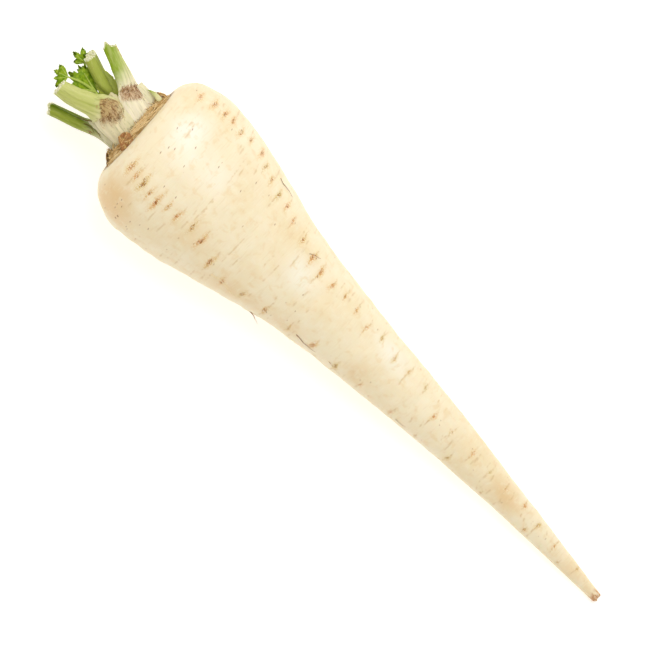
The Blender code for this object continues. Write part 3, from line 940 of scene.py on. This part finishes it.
def add_membranes(cloth, stalk):
    for index, wing in enumerate(MEMBRANES):
        if wing.stalk != stalk.name:
            continue
        rings = strip_rings(wing.path, wing.width, WING_THICKNESS, 0.3, 0.37 * index, wing.facing, wing.taper)
        ribs = np.cos(5.0 * (rings[..., 1] + rings[..., 2]) + index)
        colour = np.array(wing.colour[:3]) * (1 - 0.10 * (0.5 + 0.5 * ribs))[..., None]
        speckle = smooth_step(-0.1, 0.5, layered_noise(rings / (1.8, 0.8, 0.8) + index, 3))
        ragged_end = smooth_step(0.55, 1.0, np.linspace(0, 1, len(rings)))[:, None]
        brown = np.clip(wing.brown * (speckle + 0.8 * ragged_end), 0, 1)
        cloth.add_rings(from_crown(rings * MM), {"grown": rings, "base": colour, "brown": brown,
                                                 "cut": np.zeros(brown.shape)})


def make_shreds(shreds, material):
    cloth = Cloth()
    path = np.array(shreds.path)
    side = unit(np.cross(path[1] - path[0], path[0] * (0, 1, 1)))
    for index in range(shreds.count):
        place = (index + 0.5) / shreds.count - 0.5
        offset = side * place * (shreds.width - shreds.strip)
        jitter = shred_chance.normal(0, 0.22 * (1 - 0.6 * shreds.red), path.shape)
        reach = 1 - shreds.length_spread * abs(shred_chance.normal(0, 0.6)) * (0.3 + abs(place))
        moved = path[0] + (path - path[0]) * np.clip(reach, 0.3, 1.1) + offset + jitter
        add_strip(cloth, moved, shreds.strip * shred_chance.uniform(0.7, 1.3), SHRED_THICKNESS,
                  shred_chance.uniform(-0.5, 1.0), shred_chance.uniform(*shreds.shades), shreds.red)
    return cloth.build(shreds.name, material)


def make_stub(material):
    """The short pale stub of an old leaf, worn to a green point."""
    share = np.linspace(0, 1, 26)
    spine = curve_points(((1.6, 12.3, 5.6), (3.6, 12.6, 5.4), (5.6, 12.6, 5.0), (7.2, 12.2, 4.6)), share)
    size = (1 - share**1.6)[:, None] * 0.95 + 0.05
    hint = (0.0, 0.3, 1.0)
    angle = ring_angles(24)
    rings = tube_rings(spine, size, 0.7 * size, 24, hint)
    along = unit(np.gradient(spine, axis=0))
    face = np.cross(unit(np.cross(along, hint)), along)
    ribs = np.cos(5 * angle)[None] * size
    rings = rings + face[:, None] * (0.06 * ribs)[..., None]
    grid = rings.shape[:2]
    pale, tip = np.array(srgb(226, 224, 170)[:3]), np.array(srgb(150, 168, 72)[:3])
    base = blend(pale, tip, smooth_step(0.2, 0.9, share)[:, None, None]) * np.ones(grid + (1,))
    cloth = Cloth()
    cloth.add_rings(from_crown(rings * MM), {"grown": rings, "base": base, "brown": np.zeros(grid),
                                             "cut": np.zeros(grid)})
    return cloth.build("leaf_base_stub_point", material)


# --- Young leaves -----------------------------------------------------------------------------------


@dataclass
class Leaflet:
    """One fan-shaped, lobed leaflet in the crown's frame."""

    base: tuple  # (out, across, up) in mm
    heading: float  # degrees from straight out, towards +Y
    length: float  # mm
    rise: float  # how steeply it climbs towards its tip
    tilt: float  # how much higher its +Y side is
    lobes: tuple  # (degrees from the heading, share of the length)


FAN_ROWS = 30
FAN_COLUMNS = 150
LOBE_HALF_WIDTH = math.radians(25)
BLADE_THICKNESS = 0.16  # mm


def add_leaflet(cloth, leaflet, seed):
    """Two leaf surfaces back to back over a fan of lobes, each with a vein, side veins and teeth."""
    places = np.radians([place for place, _ in leaflet.lobes])
    sizes = np.array([size for _, size in leaflet.lobes])
    low, high = places.min() - LOBE_HALF_WIDTH, places.max() + LOBE_HALF_WIDTH
    turn = np.linspace(low, high, FAN_COLUMNS)[None]
    share = np.linspace(0.0, 1.0, FAN_ROWS)[:, None] ** 0.8 * 0.97 + 0.03
    off = np.abs(turn[..., None] - places) / LOBE_HALF_WIDTH
    tips = sizes * (1 - 0.58 * np.clip(off, 0, 1.3) ** 1.25)
    lobe = tips.argmax(axis=-1)
    teeth = 0.085 * (np.abs((4.4 * off.min(axis=-1) + 0.35 + 0.2 * lobe) % 1.0 - 0.5) * 4 - 1)
    reach = leaflet.length * (tips.max(axis=-1) + teeth * (0.4 + off.min(axis=-1)))
    near = off.min(axis=-1)
    edge = 1 - smooth_step(0.86, 1.0, np.abs(2 * (turn - low) / (high - low) - 1))
    reach = reach * blend(0.25, 1.0, edge)

    heading = math.radians(leaflet.heading)
    along = unit(np.array([math.cos(heading), math.sin(heading), leaflet.rise]))
    side = unit(np.array([-math.sin(heading), math.cos(heading), leaflet.tilt]))
    face = unit(np.cross(along, side))
    distance = reach * share
    flat = distance[..., None] * (np.cos(turn)[..., None] * along + np.sin(turn)[..., None] * side)
    aside = distance * near * LOBE_HALF_WIDTH
    vein = bell(aside / 0.16) * (1 - 0.45 * share)
    rungs = np.abs((3.4 * share - 0.9 * near + 0.31 * lobe) % 1.0 - 0.5)
    side_veins = bell((0.5 - rungs) / 0.10) * smooth_step(0.02, 0.2, near) * (1 - 0.6 * near)
    pucker = 0.22 * np.sqrt(np.clip(aside, 0, 1.2)) * (1 - 0.7 * side_veins)
    place = flat / 1.5 + seed
    lift = pucker + 0.30 * layered_noise(place, 2) + 0.05 * distance * np.cos(2.4 * turn + seed)
    lift = lift - 0.35 * share**3 * near
    top = np.array(leaflet.base) + flat + face * lift[..., None]
    under = top - face * (BLADE_THICKNESS * (1.02 - share**4))[..., None]
    rings = np.concatenate([top, under[:, ::-1]], axis=1)
    vein = np.clip(np.maximum(vein, 0.55 * side_veins), 0, 1)
    rim = np.broadcast_to(smooth_step(0.8, 1.0, share), vein.shape)
    cloth.add_rings(from_crown(rings * MM), {
        "grown": rings,
        "vein": np.concatenate([vein, vein[:, ::-1]], axis=1),
        "rim": np.concatenate([rim, rim[:, ::-1]], axis=1),
    })


LEAF_STEM_PALENESS = 0.85


def add_leaf_stem(cloth, path, radii):
    """A ribbed stem of a leaf or a vein, with radii in mm spread evenly along its path."""
    sides = 16
    share = np.linspace(0, 1, 60)
    ribbed = 1 + 0.08 * np.cos(4 * ring_angles(sides))
    girth = np.interp(share, np.linspace(0, 1, len(radii)), radii)[:, None] * ribbed
    rings = tube_rings(curve_points(path, share), girth, girth, sides, (0.0, 0.2, 1.0))
    grid = rings.shape[:2]
    cloth.add_rings(from_crown(rings * MM), {"grown": rings, "vein": np.full(grid, LEAF_STEM_PALENESS),
                                             "rim": np.zeros(grid)})


def make_front_leaf(material):
    """A young leaf in the gap between the front and middle stalks: a broad fan, and its end leaflet."""
    cloth = Cloth()
    fork = (19.2, 0.0, 1.9)
    add_leaf_stem(cloth, ((FOOT, -1.2, 0.6), (6.0, -1.6, 0.6), (12.0, -1.6, 0.8), fork), (2.6, 2.3, 1.0, 0.6))
    add_leaf_stem(cloth, (fork, (23.0, -0.3, 2.9), (26.8, -1.2, 3.4), (30.4, -2.8, 3.7)), (0.5, 0.36, 0.26))
    add_leaf_stem(cloth, (fork, (22.0, 0.7, 2.6), (26.5, 2.1, 2.9)), (0.45, 0.28, 0.08))
    add_leaf_stem(cloth, (fork, (22.0, -1.3, 2.7), (25.0, -3.6, 3.3)), (0.4, 0.22, 0.08))
    leaflets = (
        Leaflet((18.8, 0.1, 1.5), 0, 12.2, 0.10, -0.05,
                ((-52, 0.46), (-27, 0.80), (-6, 0.98), (13, 0.92), (34, 0.80))),
        Leaflet((19.6, 0.6, 0.9), 20, 9.6, 0.02, -0.10, ((-24, 0.8), (0, 0.98), (22, 0.86))),
        Leaflet((29.6, -2.4, 3.5), -33, 5.5, 0.02, 0.12, ((-47, 1.0), (-14, 0.90), (17, 0.98), (46, 0.94))),
    )
    for index, leaflet in enumerate(leaflets):
        add_leaflet(cloth, leaflet, 3.1 * index)
    return cloth.build("young_leaf_front_lobed", material)


def make_back_leaf(material):
    """A smaller young leaf that passes under the middle stalk and shows past its cut end."""
    cloth = Cloth()
    add_leaf_stem(cloth, ((FOOT, 0.9, -1.5), (9.0, -0.6, -2.4), (15.0, -1.9, -3.3), (22.0, 1.0, -3.0),
                          (29.0, 4.9, -0.4)), (1.6, 0.9, 0.6, 0.5, 0.35))
    leaflet = Leaflet((28.4, 4.9, -0.3), 6, 5.7, 0.10, 0.0, ((-42, 0.72), (-6, 1.0), (31, 0.92), (58, 0.62)))
    add_leaflet(cloth, leaflet, 20.0)
    return cloth.build("young_leaf_back_lobed", material)


# --- Side rootlets ----------------------------------------------------------------------------------

# (run mm, angle deg, length mm, turn deg from straight down the root, lift mm, radius mm, tone)
ROOTLETS = (
    (49, 140, 12.5, 14, 0.7, 0.20, 0.10),
    (68, 170, 5.2, 10, 2.0, 0.18, 0.8),
    (44, 25, 7.6, 5, 0.2, 0.13, 1.0),
    (84, 143, 9.0, 5, 0.4, 0.14, 0.9),
    (68, 55, 4.6, -30, 0.4, 0.13, 0.9),
    (183, 24, 4.6, -4, 1.5, 0.07, 0.2),
    (141, 20, 4.5, -2, 1.5, 0.07, 0.2),
    (98, 146, 6.5, 12, 0.3, 0.10, 0.5),
    (128, 150, 4.5, -8, 0.2, 0.10, 0.8),
    (58, 212, 7.0, 12, 0.8, 0.12, 0.4),
    (92, 236, 9.0, -16, 0.7, 0.10, 0.5),
    (34, 300, 6.0, 18, 0.4, 0.12, 0.6),
    (120, 330, 7.0, 10, 0.9, 0.10, 0.4),
    (152, 221, 5.0, 12, 0.8, 0.08, 0.5),
)
rootlet_chance = np.random.default_rng(8)


def make_rootlets(material):
    """Hair-fine side roots that lie along the skin."""
    cloth = Cloth()
    rows = 34
    share = np.linspace(0, 1, rows)
    for run_mm, angle_deg, length_mm, turn_deg, lift_mm, radius_mm, tone in ROOTLETS:
        drift = np.cumsum(rootlet_chance.normal(0, 0.12, rows))
        heading = math.radians(turn_deg) + 1.1 * (drift - drift.mean())
        step = length_mm * MM / (rows - 1)
        run = run_mm * MM + np.cumsum(np.cos(heading)) * step
        radius = root_radius(run)
        angle = math.radians(angle_deg) + np.cumsum(np.sin(heading) * step / radius)
        height = 0.15 * MM + lift_mm * MM * share**1.4
        spine = root_point(run, angle, radius + height)
        uneven = 1 + 0.25 * rootlet_chance.normal(0, 0.5, rows)
        girth = (radius_mm * MM * (1 - 0.75 * share) * uneven)[:, None]
        rings = tube_rings(spine, girth, girth, 7, (0.1, 0.2, 1.0))
        darker = np.broadcast_to(tone * (0.85 + 0.15 * share[:, None]), rings.shape[:2])
        cloth.add_rings(rings, {"tone": darker, "grown": rings / MM})
    return cloth.build("side_rootlets", material)


# --- Materials --------------------------------------------------------------------------------------


class Recipe:
    """A Principled material, with short ways to add the nodes that feed it."""

    def __init__(self, name):
        self.material = bpy.data.materials.new(name)
        self.material.use_nodes = True
        self.tree = self.material.node_tree
        self.shader = self.tree.nodes["Principled BSDF"]

    def node(self, kind, inputs, output=0, **settings):
        made = self.tree.nodes.new(kind)
        for key, value in settings.items():
            setattr(made, key, value)
        for key, value in inputs.items():
            if isinstance(value, bpy.types.NodeSocket):
                self.tree.links.new(value, made.inputs[key])
            else:
                made.inputs[key].default_value = value
        return made.outputs[output]

    def number(self, name):
        return self.node("ShaderNodeAttribute", {}, "Fac", attribute_name=name)

    def place(self, name="grown", stretch=(1, 1, 1)):
        vector = self.node("ShaderNodeAttribute", {}, "Vector", attribute_name=name)
        return self.node("ShaderNodeMapping", {"Vector": vector, "Scale": stretch})

    def noise(self, place, scale, detail=3.0, rough=0.5, warp=0.0):
        inputs = {"Vector": place, "Scale": scale, "Detail": detail, "Roughness": rough, "Distortion": warp}
        return self.node("ShaderNodeTexNoise", inputs, "Fac")

    def cells(self, place, scale, output="Distance"):
        return self.node("ShaderNodeTexVoronoi", {"Vector": place, "Scale": scale}, output)

    def span(self, value, low, high, to_low=0.0, to_high=1.0):
        inputs = {"Value": value, "From Min": low, "From Max": high, "To Min": to_low, "To Max": to_high}
        return self.node("ShaderNodeMapRange", inputs, interpolation_type="SMOOTHSTEP")

    def maths(self, operation, first, second=0.0):
        return self.node("ShaderNodeMath", {0: first, 1: second}, operation=operation)

    def mix(self, share, first, second):
        return self.node("ShaderNodeMix", {0: share, 6: first, 7: second}, 2, data_type="RGBA")

    def over(self, colour, mask, low, high, most, new):
        """Lays a new colour over another, from none where the mask is low to the most where it is high."""
        return self.mix(self.span(mask, low, high, 0.0, most), colour, new)

    def times(self, name, value):
        """An attribute multiplied by a value."""
        return self.maths("MULTIPLY", self.number(name), value)

    def bump(self, height, strength, distance):
        inputs = {"Height": height, "Strength": strength, "Distance": distance}
        self.tree.links.new(self.node("ShaderNodeBump", inputs), self.shader.inputs["Normal"])

    def finish(self, colour, roughness, **values):
        self.tree.links.new(colour, self.shader.inputs["Base Color"])
        if isinstance(roughness, bpy.types.NodeSocket):
            self.tree.links.new(roughness, self.shader.inputs["Roughness"])
        else:
            self.shader.inputs["Roughness"].default_value = roughness
        for key, value in values.items():
            self.shader.inputs[key.replace("_", " ")].default_value = value
        return self.material


def skin_material():
    """Ivory skin with warm patches (partly painted warm shade) and pale patches (painted highlight), faint
    cross streaks, speckled rusty scars and dark specks.
    """
    recipe = Recipe("root_skin")
    place = recipe.place()
    across = recipe.place(stretch=(1.0, 0.11, 0.11))
    patches = recipe.span(recipe.noise(place, 0.055, 3, 0.6), 0.35, 0.68)
    colour = recipe.mix(patches, srgb(251, 237, 205), srgb(246, 228, 189))
    # warm tone: partly the skin's tan, partly painted warm shade on the -Y side and underneath
    colour = recipe.over(colour, recipe.number("tone"), 0.08, 1.0, 0.9, srgb(236, 202, 148))
    # pale tone: painted highlight over the top
    colour = recipe.over(colour, recipe.number("tone"), -0.08, -0.9, 1.0, srgb(255, 250, 234))
    blotches = recipe.noise(place, 0.34, 3, 0.55, 0.3)
    colour = recipe.over(colour, blotches, 0.53, 0.70, 0.45, srgb(240, 214, 166))
    colour = recipe.over(colour, blotches, 0.46, 0.30, 0.35, srgb(253, 243, 216))
    streaks = recipe.span(recipe.noise(across, 1.5, 4, 0.6), 0.52, 0.74, 0.0, 0.24)
    colour = recipe.mix(streaks, colour, srgb(226, 198, 146))
    pale = recipe.span(recipe.noise(across, 2.3, 3, 0.5), 0.58, 0.72, 0.0, 0.35)
    colour = recipe.mix(pale, colour, srgb(254, 243, 216))

    crumbs = recipe.noise(place, 1.7, 4, 0.7)
    grit = recipe.noise(place, 2.9, 3, 0.7)
    line = recipe.times("line", recipe.span(blotches, 0.35, 0.60))
    colour = recipe.over(colour, line, 0.1, 0.9, 0.45, srgb(214, 182, 126))
    crease = recipe.times("crease", recipe.span(crumbs, 0.36, 0.54, 0.2, 1.1))
    colour = recipe.over(colour, crease, 0.05, 0.7, 0.85, srgb(208, 170, 102))
    olive = recipe.number("olive")
    halo = recipe.times("halo", recipe.span(crumbs, 0.34, 0.60, 0.45, 1.35))
    stain = recipe.mix(olive, srgb(234, 192, 122), srgb(218, 198, 120))
    colour = recipe.over(colour, halo, 0.10, 0.80, 0.70, stain)
    core = recipe.times("scar", recipe.span(crumbs, 0.32, 0.56, 0.45, 1.2))
    rusty = recipe.mix(olive, srgb(218, 150, 80), srgb(188, 158, 72))
    colour = recipe.over(colour, core, 0.15, 0.70, 0.85, rusty)
    dark = recipe.times("scar", recipe.span(grit, 0.50, 0.60, 0.0, 1.2))
    colour = recipe.over(colour, dark, 0.30, 0.85, 0.75, srgb(160, 104, 48))
    light = recipe.times("halo", recipe.span(grit, 0.48, 0.40, 0.0, 1.4))
    colour = recipe.over(colour, light, 0.15, 0.55, 0.9, srgb(254, 242, 214))
    colour = recipe.over(colour, recipe.number("speck"), 0.25, 0.85, 0.85, srgb(152, 90, 28))

    fleck_place = recipe.place(stretch=(1.0, 0.5, 0.5))
    near = recipe.span(recipe.cells(fleck_place, 0.42), 0.05, 0.13, 1.0, 0.0)
    cell_colour = recipe.cells(fleck_place, 0.42, "Color")
    chosen = recipe.span(recipe.node("ShaderNodeSeparateColor", {"Color": cell_colour}), 0.72, 0.8)
    fleck = recipe.maths("MULTIPLY", near, chosen)
    colour = recipe.over(colour, fleck, 0.0, 1.0, 0.5, srgb(190, 150, 96))

    tip_grain = recipe.span(recipe.noise(recipe.place(stretch=(0.35, 1.6, 1.6)), 1.4, 3, 0.6), 0.35, 0.6)
    tip = recipe.maths("MULTIPLY", recipe.span(recipe.number("tip"), 0.25, 0.95), tip_grain)
    colour = recipe.over(colour, tip, 0.0, 1.0, 0.85, srgb(190, 128, 70))
    rim = recipe.times("rim", recipe.span(crumbs, 0.34, 0.58, 0.3, 1.0))
    colour = recipe.mix(rim, colour, srgb(140, 100, 54))

    rough = recipe.span(recipe.noise(place, 0.9, 3, 0.6), 0.3, 0.7, 0.38, 0.56)
    height = recipe.maths("ADD", recipe.noise(across, 2.4, 4, 0.6), recipe.noise(place, 3.5, 3, 0.6))
    recipe.bump(height, 0.25, 0.10 * MM)
    return recipe.finish(colour, rough, Subsurface_Weight=0.12, Subsurface_Radius=(2.4, 1.3, 0.6),
                         Subsurface_Scale=MM, Specular_IOR_Level=0.45)


def bark_material():
    """Dry brown leaf remains: tan and dark fibres that run round the crown."""
    recipe = Recipe("crown_bark")
    place = recipe.place()
    fibres = recipe.noise(recipe.place(stretch=(0.5, 0.5, 2.6)), 1.1, 4, 0.65)
    shade = recipe.maths("ADD", recipe.number("shade"), recipe.maths("SUBTRACT", fibres, 0.5))
    colour = recipe.mix(recipe.span(shade, 0.0, 0.5), srgb(108, 76, 40), srgb(214, 176, 112))
    colour = recipe.mix(recipe.span(shade, 0.45, 1.05), colour, srgb(250, 226, 174))
    edge = recipe.times("edge", recipe.span(fibres, 0.35, 0.6))
    colour = recipe.over(colour, edge, 0.1, 1.0, 0.6, srgb(124, 90, 50))
    red = recipe.times("red", recipe.span(recipe.noise(place, 0.8), 0.35, 0.6))
    colour = recipe.over(colour, red, 0.0, 0.8, 0.75, srgb(158, 98, 58))
    recipe.bump(recipe.noise(recipe.place(stretch=(0.6, 0.6, 3.0)), 2.2, 4, 0.7), 0.6, 0.2 * MM)
    return recipe.finish(colour, 0.82, Specular_IOR_Level=0.25)


def stalk_material():
    """Ribbed stalks: their green, which carries painted shade and highlight, with lengthwise streaks, brown
    dry patches and fibrous cut ends.
    """
    recipe = Recipe("stalk")
    base = recipe.node("ShaderNodeAttribute", {}, "Color", attribute_name="base")
    place = recipe.place()
    lengthwise = recipe.place(stretch=(0.12, 1.0, 1.0))
    streaks = recipe.noise(lengthwise, 2.6, 3, 0.6)
    colour = recipe.mix(recipe.span(streaks, 0.5, 0.75, 0.0, 0.30), base, srgb(222, 222, 150))
    dull = recipe.span(recipe.noise(lengthwise, 1.7, 3, 0.5), 0.52, 0.76, 0.0, 0.35)
    colour = recipe.mix(dull, colour, srgb(124, 138, 30))
    spots = recipe.span(recipe.noise(place, 1.9, 2, 0.6), 0.66, 0.74, 0.0, 0.55)
    colour = recipe.mix(spots, colour, srgb(150, 122, 70))
    crumbs = recipe.noise(place, 3.2, 4, 0.75)
    dry = recipe.times("brown", recipe.span(crumbs, 0.28, 0.6, 0.35, 1.2))
    colour = recipe.over(colour, dry, 0.10, 0.9, 0.66, srgb(190, 144, 100))
    mottle = recipe.span(recipe.noise(recipe.place(stretch=(0.45, 1.0, 1.0)), 1.3, 4, 0.8), 0.46, 0.56)
    dead = recipe.times("brown", mottle)
    colour = recipe.over(colour, dead, 0.15, 0.9, 0.8, srgb(128, 84, 44))
    pith = recipe.mix(recipe.span(crumbs, 0.40, 0.56), srgb(170, 178, 92), srgb(248, 244, 214))
    fibre_dots = recipe.span(recipe.cells(place, 1.1), 0.14, 0.26, 0.85, 0.0)
    pith = recipe.mix(fibre_dots, pith, srgb(142, 122, 66))
    cut = recipe.times("cut", recipe.span(crumbs, 0.2, 0.5, 0.5, 1.2))
    colour = recipe.mix(recipe.span(cut, 0.25, 0.75), colour, pith)
    rough = recipe.span(recipe.number("brown"), 0.0, 0.6, 0.40, 0.85)
    recipe.bump(recipe.maths("ADD", streaks, crumbs), 0.35, 0.12 * MM)
    return recipe.finish(colour, rough, Subsurface_Weight=0.12, Subsurface_Radius=(1.2, 1.4, 0.4),
                         Subsurface_Scale=MM, Specular_IOR_Level=0.12)


def leaf_material():
    """Bright young leaf with paler veins and a darker, mottled blade."""
    recipe = Recipe("leaf")
    place = recipe.place()
    mottled = recipe.span(recipe.noise(place, 0.8, 4, 0.6), 0.35, 0.68)
    colour = recipe.mix(mottled, srgb(112, 148, 6), srgb(160, 186, 42))
    vein = recipe.times("vein", recipe.span(recipe.noise(place, 2.5), 0.2, 0.5, 0.6, 1.0))
    colour = recipe.over(colour, vein, 0.25, 0.9, 0.85, srgb(200, 216, 112))
    colour = recipe.over(colour, recipe.number("rim"), 0.5, 1.0, 0.25, srgb(98, 134, 16))
    recipe.bump(recipe.noise(place, 3.0, 4, 0.6), 0.4, 0.1 * MM)
    return recipe.finish(colour, 0.42, Subsurface_Weight=0.1, Subsurface_Radius=(0.6, 0.9, 0.2),
                         Subsurface_Scale=MM, Specular_IOR_Level=0.15)


def rootlet_material():
    recipe = Recipe("rootlet")
    place = recipe.place()
    blotches = recipe.span(recipe.noise(place, 1.2), 0.3, 0.7, -0.3, 0.3)
    tone = recipe.maths("ADD", recipe.number("tone"), blotches)
    colour = recipe.mix(recipe.span(tone, 0.1, 0.9), srgb(244, 226, 184), srgb(140, 86, 34))
    return recipe.finish(colour, 0.7)


# --- Camera, floor and light ------------------------------------------------------------------------

VIEW_TURN = math.radians(45.55)
VIEW_WIDTH = 217.1 * MM  # what the picture spans at the root's middle height
VIEW_DISTANCE = 3.0
VIEW_MIDDLE = (-3.2 * MM, -1.5 * MM)
SENSOR = 36.0
RIGHT = Vector((math.cos(VIEW_TURN), math.sin(VIEW_TURN), 0))
UPWARD = Vector((-math.sin(VIEW_TURN), math.cos(VIEW_TURN), 0))


def make_camera():
    """Looks straight down, turned so that the root runs from the upper left to the lower right."""
    low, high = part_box("root")
    middle_height = 0.5 * (low[2] + high[2])
    data = bpy.data.cameras.new("camera")
    data.sensor_width = SENSOR
    data.lens = SENSOR * VIEW_DISTANCE / VIEW_WIDTH
    camera = bpy.data.objects.new("camera", data)
    camera.location = (*VIEW_MIDDLE, middle_height + VIEW_DISTANCE)
    camera.rotation_euler = (0, 0, VIEW_TURN)
    bpy.context.collection.objects.link(camera)
    bpy.context.scene.camera = camera


# Name, distance to the picture's right, to its top and above the surface, target, size and power
LIGHTS = (
    ("key", 0.24, 0.30, 0.9, (-0.02, 0, 0.02), 0.6, 4.5),
    ("fill", -0.7, -0.3, 1.0, (0, 0, 0.02), 1.0, 1.1),
    ("over_crown", -0.45, 0.45, 0.35, (-0.09, 0, 0.03), 0.4, 0.42),
)
WORLD_STRENGTH = 0.52
FLOOR_GLOW = 0.42
FLOOR_HALF = 3.0
FLOOR_DROP = 0.2 * MM  # the floor lies a little below the root, so that the two don't meet in one plane


def make_area_light(name, right, top, above, target, size, power):
    data = bpy.data.lights.new(name, "AREA")
    data.shape = "SQUARE"
    data.size = size
    data.energy = power
    place = RIGHT * right + UPWARD * top
    place.z = above
    light = bpy.data.objects.new(name, data)
    light.location = place
    light.rotation_euler = (Vector(target) - place).to_track_quat("-Z", "Y").to_euler()
    bpy.context.collection.objects.link(light)


def make_stage():
    world = bpy.data.worlds.new("studio")
    world.use_nodes = True
    background = world.node_tree.nodes["Background"].inputs
    background["Color"].default_value = (1.0, 0.955, 0.87, 1.0)
    background["Strength"].default_value = WORLD_STRENGTH
    bpy.context.scene.world = world
    bpy.context.scene.view_settings.view_transform = "Standard"
    recipe = Recipe("floor_white")
    fine = recipe.noise(recipe.node("ShaderNodeTexCoord", {}, "Object"), 40.0)
    colour = recipe.mix(fine, (0.93, 0.93, 0.93, 1.0), (0.95, 0.95, 0.95, 1.0))
    recipe.finish(colour, 0.9, Specular_IOR_Level=0.0)
    recipe.shader.inputs["Emission Color"].default_value = (1.0, 0.98, 0.95, 1.0)
    recipe.shader.inputs["Emission Strength"].default_value = FLOOR_GLOW
    corners = [(x * FLOOR_HALF, y * FLOOR_HALF, -FLOOR_DROP) for x, y in ((-1, -1), (1, -1), (1, 1), (-1, 1))]
    floor = make_object("floor", corners, [(0, 1, 2, 3)], {}, recipe.material)
    for light in LIGHTS:
        make_area_light(*light)


def place_piece(piece, slot, *nodes):
    if nodes:
        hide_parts(*nodes)
    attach(piece, "root")


make_camera()
make_stage()
skin, bark, green, leaf = skin_material(), bark_material(), stalk_material(), leaf_material()
place_piece(make_root(skin), "root_skin", "root")
place_piece(make_rootlets(rootlet_material()), "root_skin")
place_piece(make_collar(bark), "crown_bark", "crown_collar")
fuzz = Cloth()
add_threads(fuzz)
for stalk in STALKS:
    place_piece(make_stalk(stalk, green, fuzz), "stalk", stalk.name)
place_piece(fuzz.build("dry_fibres", bark), "crown_bark")
for shreds in SHREDS:
    place_piece(make_shreds(shreds, bark), "crown_bark", shreds.node)
place_piece(make_stub(green), "stalk", "leaf_base_stub")
place_piece(make_front_leaf(leaf), "leaf", "young_leaf_front")
place_piece(make_back_leaf(leaf), "leaf", "young_leaf_back")
